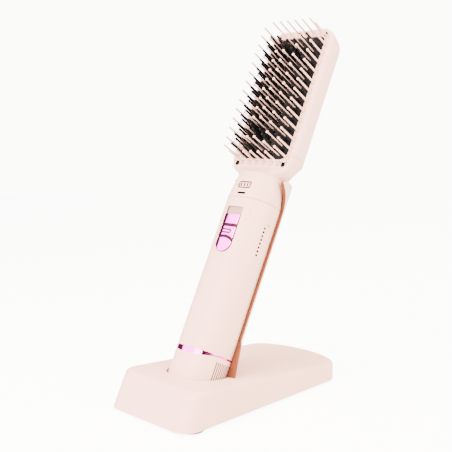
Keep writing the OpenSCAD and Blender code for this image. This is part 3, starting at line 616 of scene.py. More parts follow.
grip = oval_pipe("grip_sleeve", GRIP_R, GRIP_R - WALL, TUBE_Z, SEAM_Z - GAP, EASE)
neck = oval_pipe("neck_sleeve", GRIP_R, GRIP_R - WALL, SEAM_Z + GAP, NECK_TOP, EASE)
slim(neck, NECK_TOP - MM)
print("grip faces:", len(grip.data.polygons), "neck faces:", len(neck.data.polygons))

# %% [markdown]
# ## Slider slot
# The slider runs in a shallow recess with a flat bottom that follows the grip's curve. The cutter
# is a block with two round lower corners, and everything of it that lies inside the recess floor is
# cut away first, so that the wall keeps its thickness.


# %% Rounded blocks and the slot
def block(name, wide, low, high, near, far, lower=0.0, upper=0.0, segments=10, u=0.0):
    """A block seen from the front as a rounded outline. near and far are depths before the axis."""
    bpy.ops.mesh.primitive_cube_add(size=1, location=(u, -(near + far) / 2, (low + high) / 2))
    bpy.context.object.scale = (wide, far - near, high - low)
    piece = named(name)
    centre = (low + high) / 2
    for radius, side in ((lower, -1), (upper, 1)):
        if radius:
            open_edit(piece, "EDGE")
            pick(piece, lambda e: abs(e.verts[0].co.y - e.verts[1].co.y) > (far - near) / 2
                 and (middle(e).z - centre) * side > 0, "edges")
            bpy.ops.mesh.bevel(offset=radius, segments=segments, affect="EDGES")
            close_edit()
    return piece


SLIDER_W, SLIDER_LOW, SLIDER_HIGH = 13.8 * MM, 92.4 * MM, 120.4 * MM
STEM_W, STEM_LOW, STEM_HIGH, STEM_GAP = 4 * MM, 102.4 * MM, 110.4 * MM, 0.3 * MM
RUN, TRAVEL = 0.5 * MM, 6.3 * MM
FLOOR_R = 16.5 * MM
NEAR, FAR = 5 * MM, 30 * MM
LOW, HIGH = 80 * MM, 140 * MM
slider_slot = block("slider_slot", SLIDER_W + 2 * RUN, SLIDER_LOW - RUN, SLIDER_HIGH + TRAVEL,
                    NEAR, FAR, lower=7 * MM, upper=0.5 * MM, segments=14)
carve(slider_slot, oval_post("floor", FLOOR_R, LOW, HIGH))
stem_slot = block("stem_slot", STEM_W + 2 * STEM_GAP, STEM_LOW - STEM_GAP, STEM_HIGH + TRAVEL,
                  NEAR, 20 * MM, 0.4 * MM, 0.4 * MM, 3)
carve(grip, slider_slot, stem_slot)
print("grip faces with its slot:", len(grip.data.polygons))


# %% Finishes of the grip and the neck, with painted shade in the slot
def depth(face):
    """How far a face of an upright piece lies from the axis of the oval."""
    c = face.calc_center_median()
    return math.hypot(max(0, abs(c.x) - GRIP_FLAT / 2), c.y)


def in_slot(face):
    c = face.calc_center_median()
    return (c.y < 0 and abs(c.x) < 8 * MM and 91 * MM < c.z < 128 * MM
            and FLOOR_R - 0.2 * MM < depth(face) < GRIP_R - 0.1 * MM)


dress(grip, "pale_pink")
dress(neck, "pale_pink")
# Painted shade: the slot's floor gets a darker finish than the grip.
slot_shade_faces = paint(grip, in_slot, "slot_shade_and_print")
# Painted shade: the slot's walls get a darker finish still.
paint(grip, lambda f: in_slot(f) and depth(f) > FLOOR_R + 0.15 * MM, "slot_wall_shade")
for piece, node in ((grip, "grip_tube"), (neck, "neck_shell")):
    lay_back(piece)
    soften(piece, 40)
    settle(piece, "brush", node)
print("slot faces:", slot_shade_faces)

# %% [markdown]
# ## Slider button
# The button is a curved tile that follows the grip, square at the top and round below. Its face has
# a cross groove, a long loop and an arch. The tile and the grooves are flat outlines first, and the
# oval posts then give them the grip's curve. Grooves of polished metal look dark, because they
# mirror the dark studio. That dark reflection, and the shade in the gap round the button, are
# painted
# on here: the grooves, the bevels and the side walls get a dark finish of their own.

# %% Slider tile
BUTTON_R, BUTTON_IN, GROOVE_R = 18.3 * MM, 16.8 * MM, 17.9 * MM
STEM_NEAR, STEM_FAR = 13.5 * MM, 17.2 * MM
button = block("slider_button", SLIDER_W, SLIDER_LOW, SLIDER_HIGH, NEAR, FAR,
               lower=6.7 * MM, upper=0.5 * MM, segments=14)
carve(button, oval_post("button_skin", BUTTON_R, LOW, HIGH, 192), how="INTERSECT")
carve(button, oval_post("button_core", BUTTON_IN, LOW, HIGH))
stem = block("stem", STEM_W, STEM_LOW, STEM_HIGH, STEM_NEAR, STEM_FAR)
carve(button, stem, how="UNION")
print("tile faces:", len(button.data.polygons))


# %% Slider grooves
def hole(name, radius, u, w, near, far, sides=24):
    """A round tool that points at the face."""
    bpy.ops.mesh.primitive_cylinder_add(vertices=sides, radius=radius, depth=far - near,
                                        location=(u, -(near + far) / 2, w),
                                        rotation=(math.pi / 2, 0, 0))
    return named(name)


ACROSS = 16 * MM
CROSS_LOW, CROSS_HIGH = 110.9 * MM, 113.4 * MM
LOOP_LOW, LOOP_HIGH = 105.9 * MM, 109.3 * MM
LOOP_U, LOOP_W, LOOP_LINE = -2.3 * MM, 12.6 * MM, 1.1 * MM
ARCH_U, ARCH_MID, ARCH_R, ARCH_LINE = -0.6 * MM, 89.8 * MM, 14.9 * MM, 2.2 * MM
ARCH_LOW, ARCH_HIGH = 98 * MM, 106 * MM
cross = block("cross", ACROSS, CROSS_LOW, CROSS_HIGH, NEAR, FAR)
loop = block("loop", LOOP_W, LOOP_LOW, LOOP_HIGH, NEAR, FAR, 1.6 * MM, 1.6 * MM, u=LOOP_U)
carve(loop, block("loop_inside", LOOP_W - 2 * LOOP_LINE, LOOP_LOW + LOOP_LINE,
                  LOOP_HIGH - LOOP_LINE, NEAR - MM, FAR + MM, 0.55 * MM, 0.55 * MM, u=LOOP_U))
arch = hole("arch", ARCH_R, ARCH_U, ARCH_MID, NEAR, FAR, 96)
carve(arch, hole("arch_inside", ARCH_R - ARCH_LINE, ARCH_U, ARCH_MID, NEAR - MM, FAR + MM, 96))
carve(arch, block("arch_end", ACROSS, ARCH_LOW, ARCH_HIGH, NEAR, FAR), how="INTERSECT")
for groove in (cross, loop, arch):
    carve(groove, oval_post("groove_floor", GROOVE_R, LOW, HIGH))
    carve(button, groove)
apply_modifier(button, "BEVEL", width=0.3 * MM, segments=2, limit_method="ANGLE",
               angle_limit=math.radians(60))
dress(button, "pink_chrome")
# Painted reflection and shade: every face below the button's skin gets the dark finish.
reflection_shade_faces = paint(button, lambda f: depth(f) < BUTTON_R - 0.03 * MM, "chrome_reflection_shade")
lay_back(button)
soften(button, 20)
settle(button, "mode_slider", "mode_slider_button")
print("slider faces:", len(button.data.polygons), "dark:", reflection_shade_faces)

# %% [markdown]
# ## Signs on the neck and the grip
# A battery symbol and a light bar are printed on the neck, and dots with small numbers mark the
# scales on the grip. Print has almost no height. The wide signs are cut from a skin that lies a
# hair above the neck, and the small ones are flat enough to be set on the round side as they are.

# %% Battery symbol and light bar
PRINT = 0.06 * MM
SIGN_U, SIGN_Z, LIGHT_Z = 0.7 * MM, SEAM_Z + 9.6 * MM, SEAM_Z + 2.95 * MM
BATTERY_W, BATTERY_H, BATTERY_LINE = 11.2 * MM, 5.6 * MM, 1 * MM
NUB_U, NUB_W, NUB_H = -5.4 * MM, 0.7 * MM, 2.2 * MM
BAR_W, BAR_H, BAR_PLACES = 1.3 * MM, 2.8 * MM, (-3.2 * MM, -0.3 * MM, 2.6 * MM)
LIGHT_W, LIGHT_H = 7.6 * MM, 1.7 * MM


def stencil(name, wide, high, u, w, corner=0.0, segments=4, spare=0.0):
    """A flat sign, centred at u and w, that reaches through the skin of the neck."""
    return block(name, wide, w - high / 2, w + high / 2, 10 * MM - spare, 24 * MM + spare,
                 corner, corner, segments, u=u)


sign = stencil("battery_outline", BATTERY_W, BATTERY_H, SIGN_U, SIGN_Z, 0.8 * MM)
carve(sign, stencil("inside", BATTERY_W - 2 * BATTERY_LINE, BATTERY_H - 2 * BATTERY_LINE, SIGN_U,
                    SIGN_Z, 0.4 * MM, spare=MM))
nub = stencil("nub", NUB_W, NUB_H, NUB_U, SIGN_Z)
bars = [stencil("bar", BAR_W, BAR_H, SIGN_U + u, SIGN_Z, 0.4 * MM, 3) for u in BAR_PLACES]
light = stencil("light_bar", LIGHT_W, LIGHT_H, SIGN_U, LIGHT_Z, 0.7 * MM)
signs = [join("battery_outline", sign, nub), join("battery_bars", *bars), light]
for piece, finish_name, node in zip(signs, ("icon_mauve", "dot_grey", "status_smoke"),
                                    ("battery_gauge_lens", None, "status_light_lens")):
    skin = oval_post("skin", GRIP_R + PRINT, SEAM_Z, NECK_TOP)
    core = oval_post("core", GRIP_R - 0.3 * MM, SEAM_Z, NECK_TOP)
    carve(piece, slim(skin, NECK_TOP - MM), how="INTERSECT")
    carve(piece, slim(core, NECK_TOP - MM))
    dress(piece, finish_name)
    lay_back(piece)
    soften(piece, 40)
    settle(piece, "brush", node)
print("sign faces:", [len(piece.data.polygons) for piece in signs])


# %% Dots and ticks on the round sides
def on_side(piece, turn, w):
    """Moves a small piece from the origin to the grip's round side, turned by degrees."""
    a = math.radians(turn)
    side = math.copysign(GRIP_FLAT / 2, a)
    piece.matrix_world = (Matrix.Translation((side + GRIP_R * math.sin(a), -GRIP_R * math.cos(a), w))
                          @ Matrix.Rotation(a, 4, "Z"))
    take(piece)
    bpy.ops.object.transform_apply(location=True, rotation=True, scale=True)
    return piece


DOTS, DOT_R, DOT_TURN, DOT_STEP = 8, 0.88 * MM, 78, 2.87 * MM
DOT_LOW = SLIDER_LOW + 4.4 * MM
TICK_W, TICK_H, TICK_TURN = 3 * MM, 0.4 * MM, DOT_TURN + 8
SUNK = -0.3 * MM
dots = []
for side in (-1, 1):
    for i in range(DOTS):
        dot = hole("dot", DOT_R, 0, 0, SUNK, PRINT, 16)
        dots.append(on_side(dot, side * DOT_TURN, DOT_LOW + i * DOT_STEP))
    tick = block("tick", TICK_W, -TICK_H / 2, TICK_H / 2, SUNK, PRINT)
    dots.append(on_side(tick, side * TICK_TURN, DOT_LOW + DOTS * DOT_STEP))
dots = join("scale_dots", *dots)
print("dots:", 2 * DOTS, "faces:", len(dots.data.polygons))

# %% Mode numbers beside the slider
MODES = (("3", 31, 125.1), ("2", 28, 118.2), ("1", 28, 109.4), ("0", 27, 102.0))
DIGIT_SIZE, DIGIT_HALF = 2.4 * MM, 0.04 * MM
numbers = []
for text, turn, w in MODES:
    bpy.ops.object.text_add(rotation=(math.pi / 2, 0, 0))
    number = bpy.context.object
    number.data.body = text
    number.data.size = DIGIT_SIZE
    number.data.extrude = DIGIT_HALF
    number.data.resolution_u = 3
    number.data.align_x = number.data.align_y = "CENTER"
    bpy.ops.object.convert(target="MESH")
    numbers.append(on_side(named("number"), turn, w * MM))
numbers = join("mode_numbers", *numbers)
for piece, finish_name, node in ((dots, "dot_grey", "temperature_dots"),
                                 (numbers, "slot_shade_and_print", None)):
    dress(piece, finish_name)
    lay_back(piece)
    settle(piece, "brush", node)
print("number faces:", len(numbers.data.polygons))

# %% [markdown]
# ## Skins grown ring by ring
# The head is a rounded box with a bowed back, and the chin turns the grip's oval into that box. No
# single operator does this. The skin is grown instead: a circle is the first ring, each next ring
# is extruded from it, and its points are put on the curve that the section has at that height.


# %% Growing a skin
def grow(name, rings):
    """A closed skin through a list of rings with equally many points."""
    bpy.ops.mesh.primitive_circle_add(vertices=len(rings[0]), fill_type="NGON")
    skin = named(name)
    open_edit(skin)
    mesh = bmesh.from_edit_mesh(skin.data)
    order = mesh.verts.layers.int.new("place_in_ring")
    for place, vert in enumerate(mesh.faces[:][0].verts):
        vert[order] = place
        vert.co = rings[0][place]
    bmesh.update_edit_mesh(skin.data)
    bpy.ops.mesh.select_all(action="SELECT")
    for ring in rings[1:]:
        bpy.ops.mesh.extrude_region_move()
        mesh = bmesh.from_edit_mesh(skin.data)
        order = mesh.verts.layers.int["place_in_ring"]
        for vert in mesh.verts:
            if vert.select:
                vert.co = ring[vert[order]]
        bmesh.update_edit_mesh(skin.data)
    bpy.ops.mesh.select_all(action="SELECT")
    bpy.ops.mesh.normals_make_consistent(inside=False)
    close_edit()
    return skin


# %% The head's section
HEAD_HALF, FACE_N, BACK_N, FACE_CORNER = 30 * MM, 8.3 * MM, 14.6 * MM, 3.4 * MM
BACK_POWER = 2.3
FRONT_STEPS = [i / 6 for i in range(1, 6)]
CORNER_TURNS = [90, 75, 60, 45, 30, 15, 0]
BACK_TURNS = list(range(5, 180, 5))


def bow(c):
    return math.copysign(abs(c) ** (2 / BACK_POWER), c)


def box_section(half, face, back, corner, front=None):
    """The head's section as points (x, y): a flat face, round face corners and a bowed back.

    front is half the width at the face, where it differs from the back's."""
    turns = [math.radians(a) for a in CORNER_TURNS]
    front = front or half
    right = [(front - corner * (1 - math.cos(a)), corner * (1 - math.sin(a)) - face) for a in turns]
    bowed = [(half * bow(math.cos(math.radians(a))), back * bow(math.sin(math.radians(a))))
             for a in BACK_TURNS]
    left = [(-x, y) for x, y in reversed(right)]
    flat = [((front - corner) * (2 * t - 1), -face) for t in FRONT_STEPS]
    return flat + right + bowed + left


def oval_section(half, face, back):
    """The grip's oval with the same number of points, matched to the head's section."""
    angles = [-150 + 120 * t for t in FRONT_STEPS]
    angles += [-a / 3 for a in CORNER_TURNS] + BACK_TURNS + [180 + a / 3 for a in
                                                            reversed(CORNER_TURNS)]
    points = []
    grip_half = GRIP_R + GRIP_FLAT / 2
    for a in angles:
        c, s = math.cos(math.radians(a)), math.sin(math.radians(a))
        side = 0 if abs(c) < 1e-9 else math.copysign(GRIP_FLAT / 2, c)
        points.append((half * (side + GRIP_R * c) / grip_half, (face if s < 0 else back) * s))
    return points


# %% The head's rings, from the collar to the crown
COLLAR_TOP, HEAD_TOP = 171.4 * MM, 277.8 * MM
HEAD_CORNER, CROWN_L, CROWN_BACK, CROWN_TILT = 13 * MM, 20 * MM, 6 * MM, 0.42


def head_rings(inset, low):
    """Rings of the head, drawn in by inset and starting at a height."""
    top = HEAD_TOP - inset
    corner = HEAD_CORNER - inset
    drops = [top - low] + [CROWN_L * (1 - i / 16) for i in range(16)]
    drops += [0.9 * MM, 0.55 * MM, 0.25 * MM, 0.06 * MM, 0]
    rings = []
    for drop in drops:
        crown = 1 - min(1, drop / CROWN_L)
        brow = max(0, 1 - drop / FACE_CORNER)
        cheek = max(0, 1 - drop / corner)
        half = HEAD_HALF - inset - corner + corner * math.sqrt(1 - 0.99 * cheek * cheek)
        face = FACE_N - inset - FACE_CORNER * (1 - math.sqrt(1 - 0.99 * brow * brow))
        back = BACK_N - inset - CROWN_BACK * (1 - math.sqrt(1 - 0.99 * crown * crown))
        ring = box_section(half, face, back, max(0.6 * MM, FACE_CORNER - inset))
        rings.append([(x, y, top - drop - CROWN_TILT * crown * (y + FACE_N)) for x, y in ring])
    return rings


# %% The chin's rings, from the neck to the collar
CHIN_L, FLARE_L, FLARE_POWER, FACE_POWER = 6.6 * MM, 13 * MM, 1.3, 0.42


def flare_half(w, power=FLARE_POWER):
    """Half the width of the chin at a height."""
    share = min(1, max(0, (w - NECK_TOP) / FLARE_L))
    return NECK_HALF + (HEAD_HALF - NECK_HALF) * share ** power


def chin_rings(inset, reach):
    """Rings of the chin, drawn in by inset. reach makes both of its ends longer."""
    shares = [i / 24 for i in range(25)]
    heights = [NECK_TOP - reach] * (reach > 0) + [NECK_TOP + FLARE_L * t for t in shares]
    heights += [COLLAR_TOP + reach]
    rings = []
    for w in heights:
        share = min(1, max(0, (w - NECK_TOP) / FLARE_L))
        turn = math.sin(math.pi / 2 * min(1, share * FLARE_L / CHIN_L))
        face = NECK_R + (FACE_N - NECK_R) * turn - inset
        back = NECK_R + (BACK_N - NECK_R) * share - inset
        half = flare_half(w) - inset
        front = flare_half(w, FACE_POWER) - inset
        box = box_section(half, face, back, max(0.6 * MM, FACE_CORNER - inset), front)
        oval = oval_section(half, face, back)
        rings.append([(o[0] + (b[0] - o[0]) * turn, o[1] + (b[1] - o[1]) * turn, w)
                      for o, b in zip(oval, box)])
    return rings


# %% [markdown]
# ## Back shell of the head
# The white shell wraps round the sides up to the face. Its inside is the same skin drawn in by the
# wall, and the front is opened with a rounded block, so that a narrow rim stands around the face.

# %% Back shell
SHELL_WALL = 1.8 * MM
RIM_INSET = 3.5 * MM
SEAM = 0.35 * MM
head_back = grow("head_back_case", head_rings(0, COLLAR_TOP + SEAM))
inside = grow("inside", head_rings(SHELL_WALL, COLLAR_TOP - MM))
opening = block("opening", 2 * (HEAD_HALF - RIM_INSET), COLLAR_TOP - 5 * MM, HEAD_TOP - RIM_INSET,
                0, 12 * MM, upper=HEAD_CORNER - RIM_INSET, segments=14)
carve(head_back, inside, opening)
dress(head_back, "white_shell")
lay_back(head_back)
soften(head_back, 32)
settle(head_back, "brush", "head_back_shell")
print("back shell faces:", len(head_back.data.polygons))

# %% [markdown]
# ## Front frame
# The chin, the collar and the rim around the plate are one moulding. The chin is hollow, and the
# face plate is a rounded block whose front lies level with it. The window goes through both, and
# the four screws sit at the bottom of round holes near the corners.

# %% Front frame
FRAME_T, FRAME_INSET = 3.1 * MM, 3.6 * MM
WINDOW_W, WINDOW_LOW, WINDOW_HIGH, WINDOW_CORNER = 46.2 * MM, 168.1 * MM, 269.7 * MM, 6 * MM
HOLE_R, HOLE_FLOOR = 1.95 * MM, 5.9 * MM
SCREW_HOLES = [(side * 22.1 * MM, w * MM) for side in (-1, 1) for w in (164.2, 270.6)]
BEFORE = 12 * MM
front = grow("front_frame", chin_rings(0, 0))
carve(front, grow("inside", chin_rings(SHELL_WALL, MM)))
face_plate = block("face_plate", 2 * (HEAD_HALF - FRAME_INSET), COLLAR_TOP - FRAME_INSET,
                   HEAD_TOP - FRAME_INSET, FACE_N - FRAME_T, FACE_N,
                   upper=HEAD_CORNER - FRAME_INSET, segments=14)
carve(front, face_plate, how="UNION")
carve(front, block("window", WINDOW_W, WINDOW_LOW, WINDOW_HIGH, 0, BEFORE, WINDOW_CORNER,
                   WINDOW_CORNER))
carve(front, *[hole("screw_hole", HOLE_R, u, w, HOLE_FLOOR, BEFORE) for u, w in SCREW_HOLES])
print("front frame faces:", len(front.data.polygons))

# %% [markdown]
# ## Pins and teeth
# There are three kinds: 40 long guard pins on the rim, 44 cool pins with ball tips that pass through
# the plate, and 112 short black teeth on it. Each kind is modelled once. A small disc is extruded
# again and again, each time with a new width, and the pin is then turned up a little about its
# foot. Further down, the copies go to their places in rows.


# %% One pin
PIN_RAKE = math.radians(4.5)


def ball_tip(radius, length, neck, turns):
    """Widths of a ball at the end of a pin, from the neck round to the pole."""
    start = math.asin(neck / radius)
    rows = []
    for i in range(turns + 1):
        a = start + (math.pi - start) * i / turns
        height = length - radius - radius * math.cos(a)
        rows.append((height / length, max(0.06 * MM, radius * math.sin(a))))
    return rows


def pin(name, base_n, tip_n, stem, ball, neck, sides=10, turns=5):
    """A pin towards the viewer. stem lists (share of the length, radius) from the base up."""
    length = tip_n - base_n
    widths = stem + ball_tip(ball, length, neck, turns)
    first = stem[0][1]
    bpy.ops.mesh.primitive_circle_add(vertices=sides, radius=first, fill_type="NGON",
                                      location=(0, -base_n, 0), rotation=(math.pi / 2, 0, 0))
    piece = named(name)
    open_edit(piece)
    bpy.ops.mesh.select_all(action="SELECT")
    share = radius = None
    for new_share, new_radius in widths:
        if share is not None:
            step = length * (new_share - share)
            bpy.ops.mesh.extrude_region_move(TRANSFORM_OT_translate={"value": (0, -step, 0)})
            grown = new_radius / radius
            bpy.ops.transform.resize(value=(grown, 1, grown), center_override=(0, 0, 0))
        share, radius = new_share, new_radius
    bpy.ops.mesh.select_all(action="SELECT")
    bpy.ops.mesh.normals_make_consistent(inside=False)
    bpy.ops.transform.rotate(value=PIN_RAKE, orient_axis="X", orient_type="GLOBAL",
                             center_override=(0, -FACE_N, 0))
    close_edit()
    return piece


# %% Places of the pins
ROWS, PITCH, FIRST_ROW = 12, 7.7818 * MM, 261.7 * MM
WINDOW_MID = (WINDOW_LOW + WINDOW_HIGH) / 2


def row(k):
    return FIRST_ROW - k * PITCH


def pairs(u, ks):
    return [(side * u * MM, row(k)) for side in (-1, 1) for k in ks]


whole, between = range(ROWS), [k + 0.5 for k in range(ROWS)]
CORNER_U, CORNER_REACH = 24.1 * MM, 49.5 * MM
END_PINS, END_STEP, END_REACH = 6, 7 * MM, 53.7 * MM
guard_spots = pairs(24.9, whole)
guard_spots += [(s * CORNER_U, WINDOW_MID + e * CORNER_REACH) for s in (-1, 1) for e in (-1, 1)]
guard_spots += [((i - (END_PINS - 1) / 2) * END_STEP, WINDOW_MID + e * END_REACH) for e in (-1, 1)
                for i in range(END_PINS)]
cool_spots = pairs(14.2, between) + pairs(3.4, [0, 2, 3, 4, 5, 6, 7, 8, 9, 11])
tooth_spots = [(0, row(k)) for k in between] + pairs(3.4, [1, 10]) + pairs(7, between)
tooth_spots += pairs(10.6, whole) + pairs(19.8, between) + pairs(17, whole)
print("pins:", len(guard_spots), len(cool_spots), len(tooth_spots))


# %% [markdown]
# ## Marks around the pins
# A fine ring shows in the frame around the foot of each guard pin, and its faces get painted shade.
# Its tool is a short tube, a cylinder with a smaller one taken out of it, and all copies of the tube
# are joined and cut from the frame in one step. The walls of the screw holes get a black finish,
# painted shade, because the real holes are too deep for light to reach their floor.

# %% Rings round the guard pins
RING_OUT, RING_IN, RING_DEEP = 1.85 * MM, 1.55 * MM, 0.5 * MM
ring = hole("ring", RING_OUT, 0, 0, FACE_N - RING_DEEP, 9 * MM, 20)
carve(ring, hole("ring_inside", RING_IN, 0, 0, FACE_N - 2 * RING_DEEP, 10 * MM, 20))
rings = join("rings", *copies(ring, [Vector((u, 0, w)) for u, w in guard_spots]))
carve(front, rings)
print("rings:", len(guard_spots))


# %% Finishes of the front frame
def in_hole(face):
    c = face.calc_center_median()
    return -c.y > 5 * MM and any(math.hypot(c.x - u, c.z - w) < HOLE_R + 0.05 * MM
                                 for u, w in SCREW_HOLES)


def in_ring(face):
    c = face.calc_center_median()
    return FACE_N - 0.6 * MM < -c.y < FACE_N - 0.1 * MM and any(
        math.hypot(c.x - u, c.z - w) < RING_OUT + 0.05 * MM for u, w in guard_spots)


dress(front, "pale_pink")
# Painted shade: the walls of the screw holes get a near black finish.
black = paint(front, in_hole, "hole_shade_black")
# Painted shade: the ring grooves round the guard pins get a dark finish.
shaded = paint(front, in_ring, "groove_shade")
lay_back(front)
soften(front, 32)
settle(front, "brush", "head_front_frame")
print("front frame faces:", len(front.data.polygons), "in holes:", black, "in rings:", shaded)

# %% [markdown]
# ## Rows of pins
# Each kind of pin is copied to its places, and the copies are joined, because on the real brush each
# kind is one moulding with its backing: the teeth stand on the plate's face, and the cool pins on a
# comb behind it. The guard pins stand on the frame.


# %% Rows of pins
def plant(name, piece, spots):
    """Copies one pin to all its places and joins the copies."""
    twins = copies(piece, [Vector((u, 0, w)) for u, w in spots])
    return join(name, *twins)


GUARD_STEM = [(0, 1.2), (0.035, 1.1), (0.05, 0.95), (0.062, 0.74), (0.5, 0.68)]
COOL_STEM = [(0, 0.55), (0.2, 0.52), (0.8, 0.48)]
TOOTH_STEM = [(0, 1.2), (0.03, 1.1), (0.07, 1.0), (0.6, 0.95)]
GUARD_FOOT, GUARD_TIP, GUARD_BALL = 8.2 * MM, 25.7 * MM, 0.92 * MM
COOL_FOOT, COOL_TIP, COOL_BALL = 2 * MM, 27.1 * MM, 0.98 * MM
TOOTH_FOOT, TOOTH_TIP, TOOTH_END = 6.8 * MM, 23.9 * MM, 0.9 * MM


def in_mm(steps):
    return [(share, radius * MM) for share, radius in steps]


guard = pin("guard_pin", GUARD_FOOT, GUARD_TIP, in_mm(GUARD_STEM), GUARD_BALL, 0.6 * MM, 12)
cool = pin("cool_pin", COOL_FOOT, COOL_TIP, in_mm(COOL_STEM), COOL_BALL, 0.46 * MM)
tooth = pin("heating_tooth", TOOTH_FOOT, TOOTH_TIP, in_mm(TOOTH_STEM), TOOTH_END, 0.899 * MM, 9, 4)
guard_rows = plant("guard_pin_rows", guard, guard_spots)
cool_rows = plant("cool_pin_rows", cool, cool_spots)
tooth_rows = plant("heating_tooth_rows", tooth, tooth_spots)
print("pin faces:", [len(rows.data.polygons) for rows in (guard_rows, cool_rows, tooth_rows)])

# %% Backings of the pins
PLATE_GAP = 0.2 * MM
PLATE_CORNER = WINDOW_CORNER - PLATE_GAP
PLATE_NEAR, PLATE_FAR = 6.3 * MM, 6.9 * MM
COMB_W, COMB_HALF, COMB_CORNER = 33.4 * MM, 49.2 * MM, 2 * MM
COMB_NEAR, COMB_FAR = 0.7 * MM, 2.3 * MM
plate_face = block("plate_face", WINDOW_W - PLATE_GAP, WINDOW_LOW + PLATE_GAP,
                   WINDOW_HIGH - PLATE_GAP, PLATE_NEAR, PLATE_FAR, PLATE_CORNER, PLATE_CORNER)
comb = block("comb", COMB_W, WINDOW_MID - COMB_HALF, WINDOW_MID + COMB_HALF, COMB_NEAR, COMB_FAR,
             COMB_CORNER, COMB_CORNER, 4)
cool_rows = join("cool_pin_comb", cool_rows, comb)
teeth = join("heating_teeth_on_plate", tooth_rows, plate_face)
for piece, finish_name, node, slot_name in (
        (guard_rows, "guard_pink", "guard_pins", "pale_pink"),
        (cool_rows, "pin_white", "cool_pins", "pin_white"),
        (teeth, "plate_black", "heating_teeth", "plate_black")):
    lay_back(piece)
    soften(piece, 40)
    dress(piece, finish_name)
    settle(piece, "brush", node)
print("pieces on backings:", guard_rows.name, cool_rows.name, teeth.name)

# %% [markdown]
# ## Bottom cap and trim ring
# The cap is a cup under the grip. Nine finger grooves run down each side, and its front is cut out
# in a shallow crescent, which the polished trim ring fills. Both pieces use the same round tool, so
# their curves agree.

# %% Bottom cap
CAP_HIGH, CAP_FLOOR, CAP_EASE = 21.2 * MM, 2 * MM, 0.6 * MM
cap = oval_post("grooved_cap", GRIP_R, 0, CAP_HIGH, 192)
open_edit(cap, "EDGE")
pick(cap, lambda e: max(v.co.z for v in e.verts) < 0.01 * MM, "edges")
bpy.ops.mesh.bevel(offset=CAP_EASE, segments=4, affect="EDGES")
bpy.ops.mesh.select_mode(type="FACE")
pick(cap, lambda f: f.normal.z > 0.99)
bpy.ops.mesh.inset(thickness=WALL)
bpy.ops.transform.translate(value=(0, 0, CAP_FLOOR - CAP_HIGH))
close_edit()
print("cap faces:", len(cap.data.polygons))

# %% Crescent cut out of the cap
CRESCENT_R, CRESCENT_MID, CRESCENT_IN = 60 * MM, 78.4 * MM, 16.8 * MM
ABOVE_CAP = 40 * MM


def crescent_tool():
    return hole("crescent", CRESCENT_R, 0, CRESCENT_MID, NEAR, FAR, 256)


crescent = crescent_tool()
carve(crescent, oval_post("inner", CRESCENT_IN, 0, ABOVE_CAP, 192))
carve(cap, crescent)
print("cap faces with its crescent:", len(cap.data.polygons))

# %% Finger grooves
GROOVES, GROOVE_STEP, GROOVE_W = 9, math.radians(5.4), 0.42 * MM
GROOVE_LOW, GROOVE_HIGH = 3.5 * MM, 18.2 * MM
GROOVE_MID_R = GRIP_R + 0.08 * MM
bpy.ops.mesh.primitive_cylinder_add(vertices=16, radius=GROOVE_W, depth=GROOVE_HIGH - GROOVE_LOW,
                                    location=(0, 0, (GROOVE_LOW + GROOVE_HIGH) / 2))
bar = named("groove")
spots = []
for side in (-1, 1):
    for i in range(GROOVES):
        turn = (i - (GROOVES - 1) / 2) * GROOVE_STEP
        spots.append(Vector((side * (GRIP_FLAT / 2 + GROOVE_MID_R * math.cos(turn)),
                             GROOVE_MID_R * math.sin(turn), 0)))
carve(cap, join("grooves", *copies(bar, spots)))


def in_groove(face):
    c = face.calc_center_median()
    return (abs(c.y) < 8 * MM and GROOVE_LOW - 0.1 * MM < c.z < GROOVE_HIGH + 0.1 * MM
            and GRIP_R - 0.5 * MM < depth(face) < GRIP_R - 0.02 * MM)


dress(cap, "pale_pink")
# Painted shade: the faces inside the finger grooves get a dark finish.
groove_shade_faces = paint(cap, in_groove, "groove_shade")
lay_back(cap)
soften(cap, 28)
settle(cap, "brush", "bottom_cap")
print("groove faces:", groove_shade_faces)

# %% Trim ring
band = oval_pipe("trim_band", GRIP_R, GRIP_R - WALL, CAP_HIGH, TUBE_Z, 0.1 * MM)
smile = crescent_tool()
carve(smile, oval_post("outer", GRIP_R, 10 * MM, CAP_HIGH + 0.2 * MM, 192), how="INTERSECT")
carve(smile, oval_post("inner", CRESCENT_IN, 0, ABOVE_CAP, 192))
ring_piece = join("polished_ring", band, smile)
dress(ring_piece, "pink_chrome")
lay_back(ring_piece)
soften(ring_piece, 20)
settle(ring_piece, "brush", "trim_ring")
print("ring faces:", len(ring_piece.data.polygons))

# %% [markdown]
# ## Cradle and backrest
# The brush stands in a copper-coloured cup. Behind it the cup goes on as a trough, the backrest's
# lining, and a white shell covers its outside. Seen from the side, the front edge runs straight up
# along the grip and then bows forward at the top, round the neck. Both layers are pipes, cut with
# one curved outline. The copper's edge is folded outwards, so that it hides the shell's edge, and
# it spreads to a foot where it meets the stand.

# %% Outline of the backrest's front edge
REST_TOP = 155.2 * MM
LINER_IN, LINER_OUT, REST_IN, REST_OUT = 18.2 * MM, 19.0 * MM, 19.05 * MM, 20.2 * MM
STRAIGHT_EDGE = [(-7, -30), (-7, 60), (-7.8, 124), (-7.7, 131)]
FORWARD_BOW = [(-7.1, 136), (-5.9, 140), (-4.2, 143.4), (-2.1, 146.3), (0.1, 148.7), (2, 150.5),
               (3.2, 151.8), (3.5, 152.7), (3.2, 153.5), (2.4, 154.2), (1, 154.8), (-1, 155.2)]
FAR_N = 45
FREE_SIDE = [(-1, 175), (FAR_N, 175), (FAR_N, -30)]


def front_cut(back=0.0):
    """A cutter for all that lies before the backrest's edge, set back by a distance."""
    outline = [(-n * MM + (back if n < FAR_N else 0), w * MM)
               for n, w in STRAIGHT_EDGE + FORWARD_BOW + FREE_SIDE]
    return grow("front_cut", [[(x * MM, y, z) for y, z in outline] for x in (-35, 35)])


